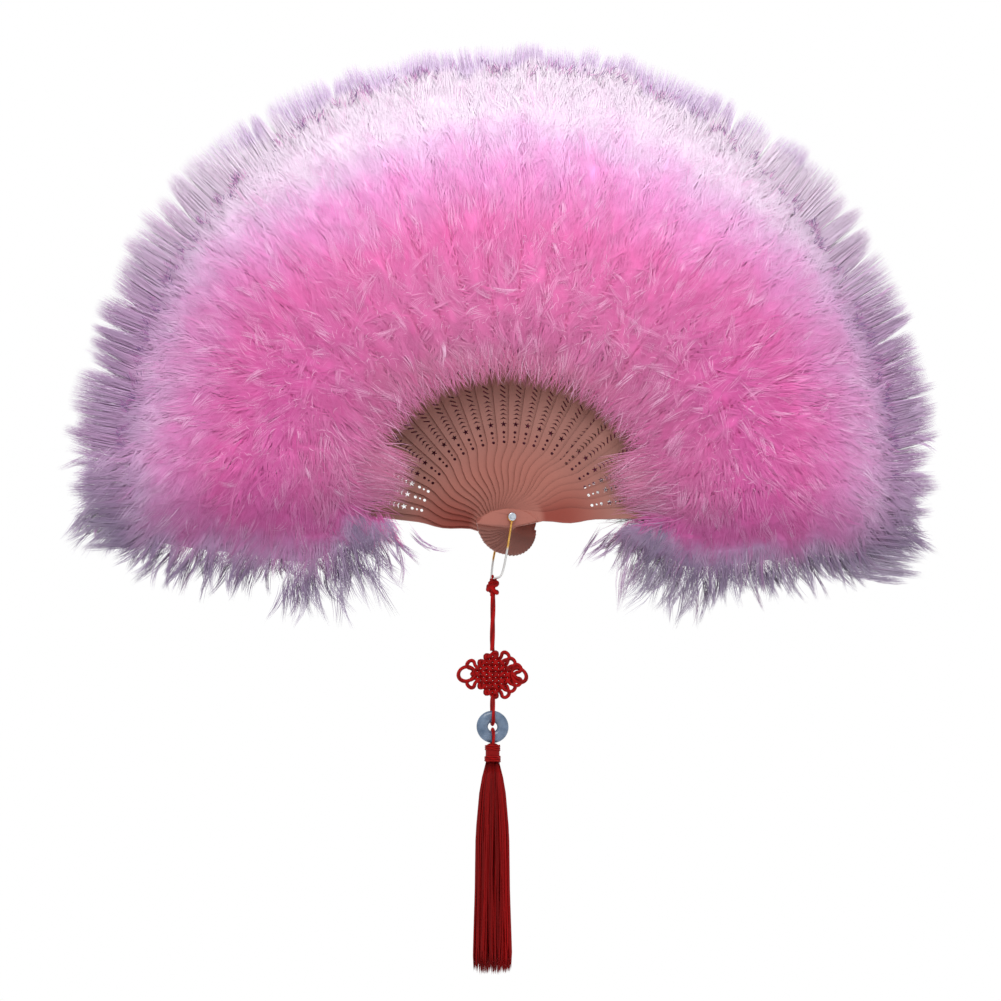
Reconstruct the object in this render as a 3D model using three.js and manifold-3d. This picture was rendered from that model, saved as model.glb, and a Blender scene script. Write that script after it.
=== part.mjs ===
// A folding feather fan: pierced wavy ribs between two guard sticks, all on one rivet, each stick
// carrying a plume of down on its tang. A wire bail on the rivet holds a cord with a woven knot,
// a jade ring and a tassel.
//
// Millimetres, +Z up. The fan is drawn open in its own plane, facing -Y, with the origin on the
// rivet's axis at the middle of the stack. The front guard points right and the back guard left.

import * as THREE from 'three';
import { mergeVertices } from 'three/addons/utils/BufferGeometryUtils.js';
import Module from 'manifold-3d';

const wasm = await Module();
wasm.setup();

// How far the fan opens, from guard to guard, and where each rib stands in that angle.
const open_angle = 169.6;
const front_guard_angle = 4.2;
const rib_place_shares = [
  0.0406, 0.0852, 0.1223, 0.1634, 0.2128, 0.2461, 0.2698, 0.3162, 0.3557, 0.3954, 0.4357, 0.4753,
  0.5153, 0.5577, 0.6006, 0.6433, 0.685, 0.7261, 0.7684, 0.8121, 0.8557, 0.8927, 0.9304, 0.9721,
];
const rib_count = rib_place_shares.length;

// The stack of sticks on the rivet.
const rib_thickness = 0.8;
const guard_thickness = 1.5;
const guard_boss_thickness = 0.9;
const guard_tang_thickness = 1.0;
const stack_gap = 0.3;
const running_gap = 0.3;
const soft_gap = 0.4;

// One rib, from the pivot outwards: leaf-shaped head, neck, wave, waist, slat, shoulder, tang.
const head_reach = 13.4;
const head_half_width = 4.75;
const head_end_half_width = 1;
const neck_reach = 16;
const neck_half_width = 2.7;
const wave_reach = 30;
const wave_half_width = 5.4;
const waist_reach = 42.5;
const waist_half_width = 3;
const slat_reach = 77;
const slat_half_width = 5.7;
const shoulder_length = 4;
const shoulder_reach = slat_reach + shoulder_length;
const tang_half_width = 1.5;
const tang_reach = 168;

// A guard is narrower, and its head is a raised boss that is longer at its free end.
const guard_neck_half_width = 2.2;
const guard_wave_half_width = 3.8;
const guard_waist_half_width = 2.4;
const guard_slat_half_width = 3.2;
const boss_half_length = 15.3;
const boss_offset = 2.2;
const boss_bevel = 0.4;

// The piercing of a rib: three drilled holes, a star, a run of chevrons and three slanted slits.
const drill_reach = 41.9;
const drill_pitch = 2.45;
const drill_radius = 0.85;
const small_drill_radius = 0.6;
const star_reach = 51;
const star_radius = 1.7;
const star_points = 5;
const star_inner_share = 0.42;
const chevron_count = 5;
const chevron_reach = 53.8;
const chevron_pitch = 2.25;
const chevron_half_width = 1.9;
const chevron_rise = 0.9;
const chevron_slit = 0.9;
const slash_count = 3;
const slash_reach = 65.6;
const slash_pitch = 2.4;
const slash_half_length = 1.6;
const slash_half_slit = 0.35;
const slash_slant = 35;

// The rivet, its cap, and the wire bail that hangs from both of its ends.
const rivet_radius = 1;
const rivet_head_radius = 1.7;
const rivet_head_height = 1.1;
const cap_wall = 0.6;
const cap_depth = 1.2;
const wire_radius = 0.55;
const bail_drop = 26.8;
const bail_lean = 7;
const bail_route_shares = [
  [0.1, 0.3, 1], [0.3, 0.62, 1], [0.46, 0.87, 0.94], [0.7, 0.99, 0.6], [1, 1, 0],
  [1.04, 0.98, -0.6], [0.9, 0.86, -0.92], [0.76, 0.6, -1], [0.5, 0.3, -1],
];
const bail_steps = 20;
const eye_steps = 8;

// The cord from the bail to the woven knot. It is doubled, with an overhand knot below the bail.
const loop_cord_radius = 0.7;
const cord_radius = 1.3;
const cord_knot_length = 8.5;
const cord_knot_radius = 3.5;
const cord_knot_profile_shares = [
  [0, 1], [0.5, 1], [0.9, 0.75], [1, 0.45], [0.75, 0.2], [0.45, 0], [0, 0],
];
const cord_length = 26.8;
const loop_steps = 10;
const cord_steps = 6;

// The woven knot: a diamond of crossing cords with ears round it and a loop below.
const weave_half_diagonal = 12.4;
const weave_half_depth = 2.2;
const ear_radius = 2.9;
const ear_cord_radius = 1;
const ears_per_edge = 2;
const ear_spread = 1.5;
const ear_steps = 8;
const ear_sides = 4;
const side_ear_reach = 18.2;
const side_ear_half_height = 3.6;
const ring_loop_radius = 0.85;

// The jade ring, the tassel's bound collar and its skirt of threads.
const ring_radius = 8;
const ring_hole_radius = 2.3;
const ring_thickness = 3.5;
const ring_drop = 102.3;
const collar_radius = 4.2;
const collar_length = 9.5;
const collar_band_depth = 0.5;
const collar_band_shares = [0.4, 0.6];
const collar_edge_shares = [0.3, 0.7];
const collar_top_share = 0.7;
const skirt_length = 106;
const skirt_radius = 9.2;
const skirt_flute_depth = 0.7;
const skirt_flute_count = 7;
const skirt_profile_shares = [
  [0, 0.42], [0.06, 0.52], [0.13, 0.66], [0.33, 0.86], [0.6, 0.9], [0.9, 1.02], [1, 1],
];

// A plume: its inner end, its reach at the fan's sides and top, and its half depth. The reach is
// full from where the plume's height is this share of its reach.
const plume_clearance = 3;
const plume_inner_reach = shoulder_reach + plume_clearance;
const plume_side_reach = 209;
const plume_top_reach = 240;
const plume_full_height = 0.78;
const plume_half_depth = 21;
const plume_edge_share = 0.72;
const guard_plume_edge_share = 0.95;
const plume_place_shares = [0, 0.12, 0.35, 0.6, 0.74, 0.84, 1];
const plume_depth_shares = [0.8, 0.93, 1, 0.92, 0.7, 0.3, 0.1];
const plume_width_shares = [1, 1, 1, 1, 1, 1, 0.55];

// The lobe of down that hangs below each guard, by how far out and how far below the rivet it is.
const lobe_drop = 36;
const lobe_drop_shares = [0.86, 1, 0.87, 0.72, 0.66, 0.5, 0.06];
const lobe_inner_reach = 52;
const lobe_inner_drop = 13;
const lobe_inner_depth_share = 0.6;
const lobe_clear_drop = 3;

const round_sides = 12;
const wire_sides = 6;
const ring_sides = 16;
const collar_sides = 10;
const cord_sides = 8;
const bend_steps = 4;

function rib_angle(share) {
  return THREE.MathUtils.degToRad(front_guard_angle + open_angle * share);
}

// Solids.

function bare(geometry) {
  geometry.deleteAttribute('normal');
  geometry.deleteAttribute('uv');
  return mergeVertices(geometry, 1e-4);
}

function to_solid(geometry) {
  const merged = bare(geometry.clone());
  return new wasm.Manifold(new wasm.Mesh({
    numProp: 3,
    vertProperties: new Float32Array(merged.attributes.position.array),
    triVerts: new Uint32Array(merged.index.array),
  }));
}

function to_geometry(solid) {
  const mesh = solid.getMesh();
  const geometry = new THREE.BufferGeometry();
  geometry.setAttribute('position', new THREE.Float32BufferAttribute(mesh.vertProperties, 3));
  geometry.setIndex(new THREE.Uint32BufferAttribute(mesh.triVerts, 1));
  geometry.computeVertexNormals();
  return geometry;
}

function joined(...geometries) {
  const solids = geometries.map(to_solid);
  return to_geometry(solids.reduce((sum, solid) => sum.add(solid)));
}

function cut(geometry, tool) {
  return to_geometry(to_solid(geometry).subtract(to_solid(tool)));
}

// Joins rings of points into a closed skin, with a flat cap at each end unless the rings meet.
function skin(rings, meets) {
  const sides = rings[0].length;
  const corners = rings.flat().flatMap((point) => point.toArray());
  const faces = [];
  const last = meets ? rings.length : rings.length - 1;
  for (let i = 0; i < last; i += 1) {
    for (let j = 0; j < sides; j += 1) {
      const a = i * sides + j;
      const b = i * sides + (j + 1) % sides;
      const next = ((i + 1) % rings.length) * sides;
      const c = next + (j + 1) % sides;
      const d = next + j;
      faces.push(a, b, c, a, c, d);
    }
  }
  if (!meets) {
    const end = (rings.length - 1) * sides;
    for (let j = 1; j < sides - 1; j += 1) {
      faces.push(0, j + 1, j, end, end + j, end + j + 1);
    }
  }
  const geometry = new THREE.BufferGeometry();
  geometry.setAttribute('position', new THREE.Float32BufferAttribute(corners, 3));
  geometry.setIndex(volume_of(corners, faces) < 0 ? faces.reverse() : faces);
  geometry.computeVertexNormals();
  return geometry;
}

function volume_of(corners, faces) {
  const point = (i) => new THREE.Vector3().fromArray(corners, 3 * i);
  let sum = 0;
  for (let i = 0; i < faces.length; i += 3) {
    sum += point(faces[i]).dot(point(faces[i + 1]).cross(point(faces[i + 2])));
  }
  return sum;
}

// A closed ring of cord along an ellipse round a centre, in the fan's plane.
function cord_ring(center, along_radius, across_radius, radius, steps, sides) {
  const rings = [];
  for (let i = 0; i < steps; i += 1) {
    const turn = 2 * Math.PI * i / steps;
    const place = new THREE.Vector3(
      along_radius * Math.cos(turn), across_radius * Math.sin(turn), 0);
    const outwards = new THREE.Vector3(
      Math.cos(turn) / along_radius, Math.sin(turn) / across_radius, 0).normalize();
    rings.push(section(place.add(center), outwards, unit_z, radius, sides));
  }
  return skin(rings, true);
}

function section(middle, first, second, radius, sides) {
  const points = [];
  for (let j = 0; j < sides; j += 1) {
    const turn = 2 * Math.PI * j / sides;
    points.push(middle.clone()
      .addScaledVector(first, Math.cos(turn) * radius)
      .addScaledVector(second, Math.sin(turn) * radius));
  }
  return points;
}

function tube(points, radius, sides, steps) {
  const ring = new THREE.Shape();
  ring.setFromPoints(section(new THREE.Vector3(), unit_x, unit_y, radius, sides)
    .map((point) => new THREE.Vector2(point.x, point.y)));
  const extrudePath = new THREE.CatmullRomCurve3(points);
  return new THREE.ExtrudeGeometry(ring, { steps, extrudePath, bevelEnabled: false });
}

const unit_x = new THREE.Vector3(1, 0, 0);
const unit_y = new THREE.Vector3(0, 1, 0);
const unit_z = new THREE.Vector3(0, 0, 1);

// Turned pieces. A profile gives the radius and the height along the axis.

function turned(profile, sides = round_sides) {
  return new THREE.LatheGeometry(profile.map(([r, h]) => new THREE.Vector2(r, h)), sides);
}

// Sticks. Each outline lies along +X from the pivot, symmetric about its axis.

function eased(keys, reach) {
  const next = keys.findIndex(([place]) => place >= reach);
  const [start, from] = keys[Math.max(next - 1, 0)];
  const [end, to] = keys[Math.max(next, 0)];
  const share = end > start ? (reach - start) / (end - start) : 0;
  return from + (to - from) * (1 - Math.cos(Math.PI * share)) / 2;
}

const head_station_shares = [-1, -0.75, -0.4, 0, 0.5];
const neck_station_shares = [0, 0.35, 0.7, 1, 1.3, 1.6];

function stick_outline(neck, wave, waist, slat) {
  const keys = [
    [0, head_half_width], [neck_reach, neck], [wave_reach, wave],
    [waist_reach, waist], [slat_reach, slat],
  ];
  const head_swell = head_half_width - head_end_half_width;
  const half_width = (reach) => (reach < 0
    ? head_end_half_width + head_swell * (1 - (reach / head_reach) ** 2)
    : eased(keys, reach));
  const wave_step = wave_reach - neck_reach;
  const stations = [
    ...head_station_shares.map((share) => share * head_reach),
    ...neck_station_shares.map((share) => neck_reach + share * wave_step),
    waist_reach, (waist_reach + slat_reach) / 2, slat_reach,
  ];
  const edge = stations.map((reach) => [reach, half_width(reach)]);
  edge.push([shoulder_reach, tang_half_width], [tang_reach, tang_half_width]);
  const lower = edge.map(([reach, half]) => new THREE.Vector2(reach, -half));
  const upper = edge.map(([reach, half]) => new THREE.Vector2(reach, half));
  return new THREE.Shape([...lower, ...upper.reverse()]);
}

function round_hole(reach, radius, sides) {
  return new THREE.Path(section(new THREE.Vector3(reach, 0, 0), unit_x, unit_y, radius, sides)
    .map((point) => new THREE.Vector2(point.x, point.y)));
}

function rivet_hole() {
  return round_hole(0, rivet_radius + running_gap, cord_sides);
}

function star_hole() {
  const points = [];
  for (let i = 0; i < 2 * star_points; i += 1) {
    const radius = i % 2 ? star_radius * star_inner_share : star_radius;
    const turn = Math.PI * i / star_points;
    points.push(new THREE.Vector2(star_reach + radius * Math.cos(turn), radius * Math.sin(turn)));
  }
  return new THREE.Path(points);
}

function chevron_hole(reach) {
  const foot = reach - chevron_rise / 2;
  const crown = reach + chevron_rise / 2;
  return new THREE.Path([
    new THREE.Vector2(foot, -chevron_half_width),
    new THREE.Vector2(crown + chevron_slit / 2, 0),
    new THREE.Vector2(foot, chevron_half_width),
    new THREE.Vector2(crown - chevron_slit / 2, 0),
  ]);
}

function slash_hole(reach) {
  const slant = THREE.MathUtils.degToRad(slash_slant);
  const corners = [[-1, -1], [1, -1], [1, 1], [-1, 1]];
  return new THREE.Path(corners.map(([long, wide]) => {
    const across = long * slash_half_length;
    const along = wide * slash_half_slit;
    return new THREE.Vector2(
      reach + along * Math.cos(slant) + across * Math.sin(slant),
      across * Math.cos(slant) - along * Math.sin(slant),
    );
  }));
}

function rib_geometry() {
  const shape = stick_outline(neck_half_width, wave_half_width, waist_half_width, slat_half_width);
  shape.holes.push(rivet_hole(), star_hole());
  [drill_radius, small_drill_radius, drill_radius].forEach((radius, i) => {
    shape.holes.push(round_hole(drill_reach + i * drill_pitch, radius, wire_sides));
  });
  for (let i = 0; i < chevron_count; i += 1) {
    shape.holes.push(chevron_hole(chevron_reach + i * chevron_pitch));
  }
  for (let i = 0; i < slash_count; i += 1) {
    shape.holes.push(slash_hole(slash_reach + i * slash_pitch));
  }
  const rib = new THREE.ExtrudeGeometry(shape, { depth: rib_thickness, bevelEnabled: false });
  return bare(rib.translate(0, 0, -rib_thickness / 2));
}

// A guard lies with its inner face at zero and its boss outwards, along +Z.
function guard_geometry() {
  const shaft_shape = stick_outline(guard_neck_half_width, guard_wave_half_width,
    guard_waist_half_width, guard_slat_half_width);
  shaft_shape.holes.push(rivet_hole());
  const shaft = new THREE.ExtrudeGeometry(shaft_shape, {
    depth: guard_thickness, bevelEnabled: false,
  });
  const relief = new THREE.BoxGeometry(tang_reach, 2 * slat_half_width, guard_thickness);
  relief.translate(shoulder_reach + tang_reach / 2, 0, guard_tang_thickness + guard_thickness / 2);
  return joined(cut(shaft, relief), boss_geometry());
}

const boss_station_shares = [-0.8, -0.5, 0, 0.5, 0.8];

function boss_geometry() {
  const half = (share) => (head_half_width - boss_bevel) * (1 - share ** 2);
  const long = boss_half_length - boss_bevel;
  const edge = boss_station_shares.map((share) => [share * long - boss_offset, half(share)]);
  const shape = new THREE.Shape([
    new THREE.Vector2(-long - boss_offset, 0),
    ...edge.map(([reach, width]) => new THREE.Vector2(reach, -width)),
    new THREE.Vector2(long - boss_offset, 0),
    ...edge.map(([reach, width]) => new THREE.Vector2(reach, width)).reverse(),
  ]);
  const hole = rivet_hole();
  const height = guard_thickness + guard_boss_thickness;
  const boss = new THREE.ExtrudeGeometry(shape, {
    depth: height - boss_bevel, bevelThickness: boss_bevel, bevelSize: boss_bevel, bevelSegments: 1,
  });
  const drill = new THREE.ExtrudeGeometry(new THREE.Shape(hole.getPoints()), {
    depth: 2 * height, bevelEnabled: false,
  });
  drill.translate(0, 0, -height / 2);
  const below = new THREE.BoxGeometry(4 * boss_half_length, 4 * boss_half_length, height);
  below.translate(0, 0, -height / 2);
  return cut(cut(boss, below), drill);
}

// Depths, measured from the middle of the stack towards the front.

const guard_full_thickness = guard_thickness + guard_boss_thickness;
const rib_pitch = rib_thickness + stack_gap;
const half_ribs = (rib_count * rib_pitch - stack_gap) / 2;
const guard_inner_depth = half_ribs + stack_gap;
const half_stack = guard_inner_depth + guard_full_thickness;
const eye_depth = half_stack + running_gap + wire_radius;
const rivet_head_depth = eye_depth + wire_radius + running_gap;

function rib_depth(index) {
  return half_ribs - rib_thickness / 2 - index * rib_pitch;
}

// Plumes.

function plume_reach(angle) {
  const rise = Math.min(1, Math.sin(angle) / plume_full_height);
  return plume_side_reach + (plume_top_reach - plume_side_reach) * rise;
}

// One station of a plume: front, back and edge points between two sides of the fan's plane.
function plume_station(low, high, half_depth, edge_share) {
  const middle = low.clone().add(high).divideScalar(2);
  const at = (point, depth) => new THREE.Vector3(point.x, point.y, depth);
  const edge = half_depth * edge_share;
  return [
    at(low, -edge), at(middle, -half_depth), at(high, -edge),
    at(high, edge), at(middle, half_depth), at(low, edge),
  ];
}

function polar(reach, angle) {
  return new THREE.Vector2(reach * Math.cos(angle), reach * Math.sin(angle));
}

function rib_plume_geometry(low_angle, high_angle, angle, depth) {
  const tip = plume_reach(angle);
  const rings = plume_place_shares.map((share, i) => {
    const reach = plume_inner_reach + share * (tip - plume_inner_reach);
    const inset = soft_gap / 2 / reach;
    const middle = (low_angle + high_angle) / 2;
    const half = ((high_angle - low_angle) / 2 - inset) * plume_width_shares[i];
    const half_depth = plume_half_depth * plume_depth_shares[i];
    return plume_station(polar(reach, middle - half), polar(reach, middle + half),
      half_depth, plume_edge_share);
  });
  return cut(skin(rings, false), tang_channel(angle, depth, rib_thickness));
}

// A guard's plume, with the lobe that hangs below the guard. The rise is the angle from level to
// the neighbouring rib's plume, and side is 1 for the guard that points right and -1 for the other.
function guard_plume_geometry(rise, side, angle, depth) {
  const rings = [];
  const place = (x, y) => new THREE.Vector2(side * x, y);
  const add = (high, low, share) => rings.push(
    plume_station(low, high, plume_half_depth * share, guard_plume_edge_share));
  const before = plume_inner_reach - soft_gap;
  add(place(lobe_inner_reach, -lobe_clear_drop), place(lobe_inner_reach, -lobe_inner_drop),
    lobe_inner_depth_share);
  add(place(before, -lobe_clear_drop), place(before, -lobe_drop * lobe_drop_shares[0]),
    plume_depth_shares[0]);
  plume_place_shares.forEach((share, i) => {
    const reach = plume_inner_reach + share * (plume_side_reach - plume_inner_reach);
    const inset = soft_gap / 2 / reach;
    const high = polar(reach, (rise - inset) * plume_width_shares[i]);
    add(place(high.x, high.y), place(reach, -lobe_drop * lobe_drop_shares[i]),
      plume_depth_shares[i]);
  });
  return cut(skin(rings, false), tang_channel(angle, depth, guard_tang_thickness));
}

function tang_channel(angle, depth, thickness) {
  const start = lobe_inner_reach;
  const end = tang_reach + soft_gap;
  const channel = new THREE.BoxGeometry(
    end - start, 2 * (tang_half_width + soft_gap), thickness + 2 * soft_gap);
  return channel.translate((start + end) / 2, 0, depth).rotateZ(angle);
}

// Rivet, cap and bail.

function rivet_geometry() {
  const end = -(eye_depth + wire_radius + cap_depth);
  return turned([
    [0, end], [rivet_radius, end], [rivet_radius, rivet_head_depth],
    [rivet_head_radius, rivet_head_depth],
    [rivet_head_radius, rivet_head_depth + rivet_head_height / 2],
    [rivet_head_radius / 2, rivet_head_depth + rivet_head_height],
    [0, rivet_head_depth + rivet_head_height],
  ]).rotateX(Math.PI / 2);
}

function cap_geometry() {
  const bore = rivet_radius + running_gap;
  const top = -rivet_head_depth;
  const floor = top - cap_depth;
  return turned([
    [0, floor - cap_wall], [bore, floor - cap_wall], [bore + cap_wall, floor],
    [bore + cap_wall, top], [bore, top], [bore, floor], [0, floor],
  ]).rotateX(Math.PI / 2);
}

function bail_geometry() {
  const eye_radius = rivet_radius + running_gap + wire_radius;
  const ends = [1, -1].map((side) => new THREE.Vector3(0, -eye_radius, side * eye_depth));
  const route = bail_route_shares.map(([lean, drop, depth]) => new THREE.Vector3(
    -lean * bail_lean, -drop * bail_drop, depth * eye_depth));
  const leg = tube([ends[0], ...route, ends[1]], wire_radius, wire_sides, bail_steps);
  const eyes = [1, -1].map((side) => cord_ring(new THREE.Vector3(0, 0, side * eye_depth),
    eye_radius, eye_radius, wire_radius, eye_steps, wire_sides));
  return joined(leg, ...eyes);
}

// Cord, woven knot, ring and tassel, all below the lowest point of the bail.

const hang = new THREE.Vector3(-bail_lean, -bail_drop, 0);
const cord_loop_radius = wire_radius + running_gap + loop_cord_radius;
const knot_top = hang.y - cord_loop_radius;
const cord_top = knot_top - cord_knot_length;
const weave_top = cord_top - cord_length;
const weave_center = new THREE.Vector3(hang.x, weave_top - running_gap - weave_half_diagonal, 0);
const ring_center = new THREE.Vector3(hang.x, -ring_drop, 0);
const strand_reach = ring_hole_radius - running_gap - ring_loop_radius;
const collar_top = ring_center.y - ring_radius - running_gap;
const skirt_top = collar_top - collar_length - running_gap;

function cord_geometry() {
  const loop = cord_ring(hang, cord_loop_radius, cord_loop_radius, loop_cord_radius,
    loop_steps, wire_sides);
  const knot = turned(cord_knot_profile_shares.map(([radius_share, drop_share]) => [
    cord_knot_radius * radius_share, -cord_knot_length * drop_share,
  ]), cord_sides).translate(hang.x, knot_top, 0);
  const top = new THREE.Vector3(hang.x, cord_top + cord_knot_length / 4, 0);
  const bottom = new THREE.Vector3(hang.x, weave_top, 0);
  const middle = top.clone().add(bottom).divideScalar(2);
  const cord = tube([top, middle, bottom], cord_radius, cord_sides, cord_steps);
  return joined(loop, knot, cord);
}

function weave_geometry() {
  const side = weave_half_diagonal * Math.SQRT2;
  const plate = new THREE.BoxGeometry(side, side, 2 * weave_half_depth).rotateZ(Math.PI / 4);
  const ears = [];
  const diagonal = weave_half_diagonal / 2;
  for (const x of [-1, 1]) {
    for (const y of [-1, 1]) {
      for (let i = 0; i < ears_per_edge; i += 1) {
        const share = ((i + 1) / (ears_per_edge + 1) - 0.5) * ear_spread;
        const middle = new THREE.Vector3(
          x * diagonal * (1 - share), y * diagonal * (1 + share), 0);
        ears.push(ear(middle, ear_radius, ear_radius));
      }
    }
    const inner = weave_half_diagonal - ear_cord_radius * 2;
    const half_length = (side_ear_reach - ear_cord_radius - inner) / 2;
    const middle = new THREE.Vector3(x * (inner + half_length), 0, 0);
    ears.push(ear(middle, half_length, side_ear_half_height));
  }
  const knot = joined(plate, ...ears).translate(...weave_center);
  const strand = ring_center.y + strand_reach;
  const loop_top = weave_center.y - weave_half_diagonal + 2 * ring_loop_radius;
  return joined(knot, ring_loop(strand, loop_top));
}

function ear(middle, half_length, half_height) {
  return cord_ring(middle, half_length, half_height, ear_cord_radius, ear_steps, ear_sides);
}

// A loop of cord that runs through the ring's hole and up or down past its front and back:
// two half circles, one at each end, with straight cord between them.
function ring_loop(low, high) {
  const bend = ring_thickness / 2 + running_gap + ring_loop_radius;
  const rings = [];
  for (const [middle, start] of [[high - bend, 0], [low + bend, Math.PI]]) {
    for (let i = 0; i <= bend_steps; i += 1) {
      const turn = start + Math.PI * i / bend_steps;
      const spoke = new THREE.Vector3(0, Math.sin(turn), Math.cos(turn));
      const at = new THREE.Vector3(ring_center.x, middle, 0).addScaledVector(spoke, bend);
      rings.push(section(at, spoke, unit_x, ring_loop_radius, wire_sides));
    }
  }
  return skin(rings, true);
}

function ring_geometry() {
  const middle = (ring_radius + ring_hole_radius) / 2;
  const half = (ring_radius - ring_hole_radius) / 2;
  const profile = [];
  for (let i = 0; i <= cord_sides; i += 1) {
    const turn = 2 * Math.PI * i / cord_sides;
    profile.push([middle - half * Math.cos(turn), -ring_thickness / 2 * Math.sin(turn)]);
  }
  return turned(profile, ring_sides).rotateX(Math.PI / 2).translate(...ring_center);
}

function collar_geometry() {
  const band = collar_radius - collar_band_depth;
  const [band_high, band_low] = collar_band_shares.map((share) => -share * collar_length);
  const [edge_high, edge_low] = collar_edge_shares.map((share) => -share * collar_length);
  const collar = turned([
    [0, -collar_length], [collar_radius, -collar_length], [collar_radius, edge_low],
    [band, band_low], [band, band_high], [collar_radius, edge_high],
    [collar_radius * collar_top_share, 0], [0, 0],
  ], collar_sides).translate(ring_center.x, collar_top, 0);
  const strand = ring_center.y - strand_reach;
  const loop_low = collar_top - 2 * ring_loop_radius;
  return joined(collar, ring_loop(loop_low, strand));
}

// The skirt is fluted, as locks of thread lie side by side.
function skirt_geometry() {
  const sides = 2 * skirt_flute_count;
  const rings = skirt_profile_shares.map(([drop_share, radius_share]) => {
    const points = [];
    for (let j = 0; j < sides; j += 1) {
      const turn = 2 * Math.PI * j / sides;
      const flute = j % 2 ? skirt_flute_depth : 0;
      const radius = (skirt_radius - flute) * radius_share;
      points.push(new THREE.Vector3(ring_center.x + radius * Math.cos(turn),
        skirt_top - drop_share * skirt_length, radius * Math.sin(turn)));
    }
    return points;
  });
  return skin(rings, false);
}

// The finished fan.

const looks = {
  stick: { color: 0xa06e64, roughness: 0.45, metalness: 0 },
  down: { color: 0xe682c8, roughness: 0.95, metalness: 0 },
  steel: { color: 0xb4bec8, roughness: 0.3, metalness: 1 },
  gold_wire: { color: 0xdcaa5a, roughness: 0.3, metalness: 1 },
  red_cord: { color: 0x960a14, roughness: 0.7, metalness: 0 },
  jade: { color: 0x647896, roughness: 0.2, metalness: 0 },
};

const materials = Object.fromEntries(Object.entries(looks).map(
  ([name, look]) => [name, new THREE.MeshStandardMaterial(look)]));

const fan = new THREE.Group();
fan.rotation.x = Math.PI / 2;

function place(name, geometry, material, angle = 0, depth = 0) {
  const mesh = new THREE.Mesh(geometry, materials[material]);
  mesh.name = name;
  mesh.rotation.z = angle;
  mesh.position.z = depth;
  fan.add(mesh);
  return mesh;
}

const two_digits = (index) => String(index + 1).padStart(2, '0');
const stick_shares = [0, ...rib_place_shares, 1];
const stick_angles = stick_shares.map(rib_angle);
const boundaries = stick_angles.slice(1).map((angle, i) => (angle + stick_angles[i]) / 2);

const rib = rib_geometry();
for (let i = 0; i < rib_count; i += 1) {
  const angle = stick_angles[i + 1];
  place(`rib_${two_digits(i)}`, rib, 'stick', angle, rib_depth(i));
  const plume = rib_plume_geometry(boundaries[i], boundaries[i + 1], angle, rib_depth(i));
  place(`rib_plume_${two_digits(i)}`, plume, 'down');
}

const guard = guard_geometry();
const front_angle = stick_angles[0];
const back_angle = stick_angles[rib_count + 1];
const tang_depth = guard_inner_depth + guard_tang_thickness / 2;
place('front_guard', guard, 'stick', front_angle, guard_inner_depth);
const back_guard = place('back_guard', guard, 'stick', back_angle, -guard_inner_depth);
back_guard.rotation.set(Math.PI, 0, -back_angle);
const front_plume = guard_plume_geometry(boundaries[0], 1, front_angle, tang_depth);
place('front_guard_plume', front_plume, 'down');
const back_plume = guard_plume_geometry(
  Math.PI - boundaries[rib_count], -1, back_angle, -tang_depth);
place('back_guard_plume', back_plume, 'down');

place('pivot_rivet', rivet_geometry(), 'steel');
place('rivet_cap', cap_geometry(), 'steel');
place('wire_bail', bail_geometry(), 'gold_wire');
place('hanging_cord', cord_geometry(), 'red_cord');
place('woven_knot', weave_geometry(), 'red_cord');
place('jade_ring', ring_geometry(), 'jade');
place('tassel_collar', collar_geometry(), 'red_cord');
place('tassel_skirt', skirt_geometry(), 'red_cord');

export default fan;
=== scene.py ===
# %% [markdown]
# A folding fan of dyed down. Twenty-four pierced ribs and two guards turn on one rivet, and each of
# them carries a plume of marabou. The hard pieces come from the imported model, which is loaded as a
# fixed frame. This lesson dresses that frame: the down, the cord work and the tassel are modelled
# here, and every surface gets its finish.

# %% Load the frame
import math

import bpy
import numpy as np
from mathutils import Matrix, Vector


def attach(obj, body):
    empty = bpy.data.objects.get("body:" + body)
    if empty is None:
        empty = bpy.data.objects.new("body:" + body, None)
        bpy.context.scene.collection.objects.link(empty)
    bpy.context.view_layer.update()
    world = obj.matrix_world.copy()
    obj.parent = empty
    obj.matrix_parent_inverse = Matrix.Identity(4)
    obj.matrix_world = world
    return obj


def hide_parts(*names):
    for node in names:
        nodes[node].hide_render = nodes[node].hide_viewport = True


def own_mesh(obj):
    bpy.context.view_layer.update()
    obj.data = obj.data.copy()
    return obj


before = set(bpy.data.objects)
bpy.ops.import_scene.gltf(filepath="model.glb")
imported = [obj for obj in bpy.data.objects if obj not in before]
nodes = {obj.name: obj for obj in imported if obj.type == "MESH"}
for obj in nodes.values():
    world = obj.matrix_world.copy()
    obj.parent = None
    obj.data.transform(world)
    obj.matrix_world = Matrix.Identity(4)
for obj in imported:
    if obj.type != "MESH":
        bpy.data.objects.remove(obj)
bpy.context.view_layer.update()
scene = bpy.context.scene
mm = 0.001

# %% [markdown]
# The camera stands where the photograph's did: a little to the left of the fan and well below it,
# so that the underside of the stack of heads shows. It could be aimed with a Track To constraint,
# but a matrix also gives the picture's own right and up, which place the rivet in it. The rivet is
# the point that everything in the picture is measured from.

# %% Camera
view_azimuth = math.radians(-9)
view_elevation = math.radians(-11.5)
view_distance = 1.5
picture_width = 0.5005
rivet_right_of_middle = 3 * mm
rivet_below_middle = 11.5 * mm

towards_camera = Vector((
    math.sin(view_azimuth) * math.cos(view_elevation),
    -math.cos(view_azimuth) * math.cos(view_elevation),
    math.sin(view_elevation),
))
aim = towards_camera.to_track_quat("Z", "Y").to_matrix().to_4x4()
right, up = aim.col[0].to_3d(), aim.col[1].to_3d()

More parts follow.
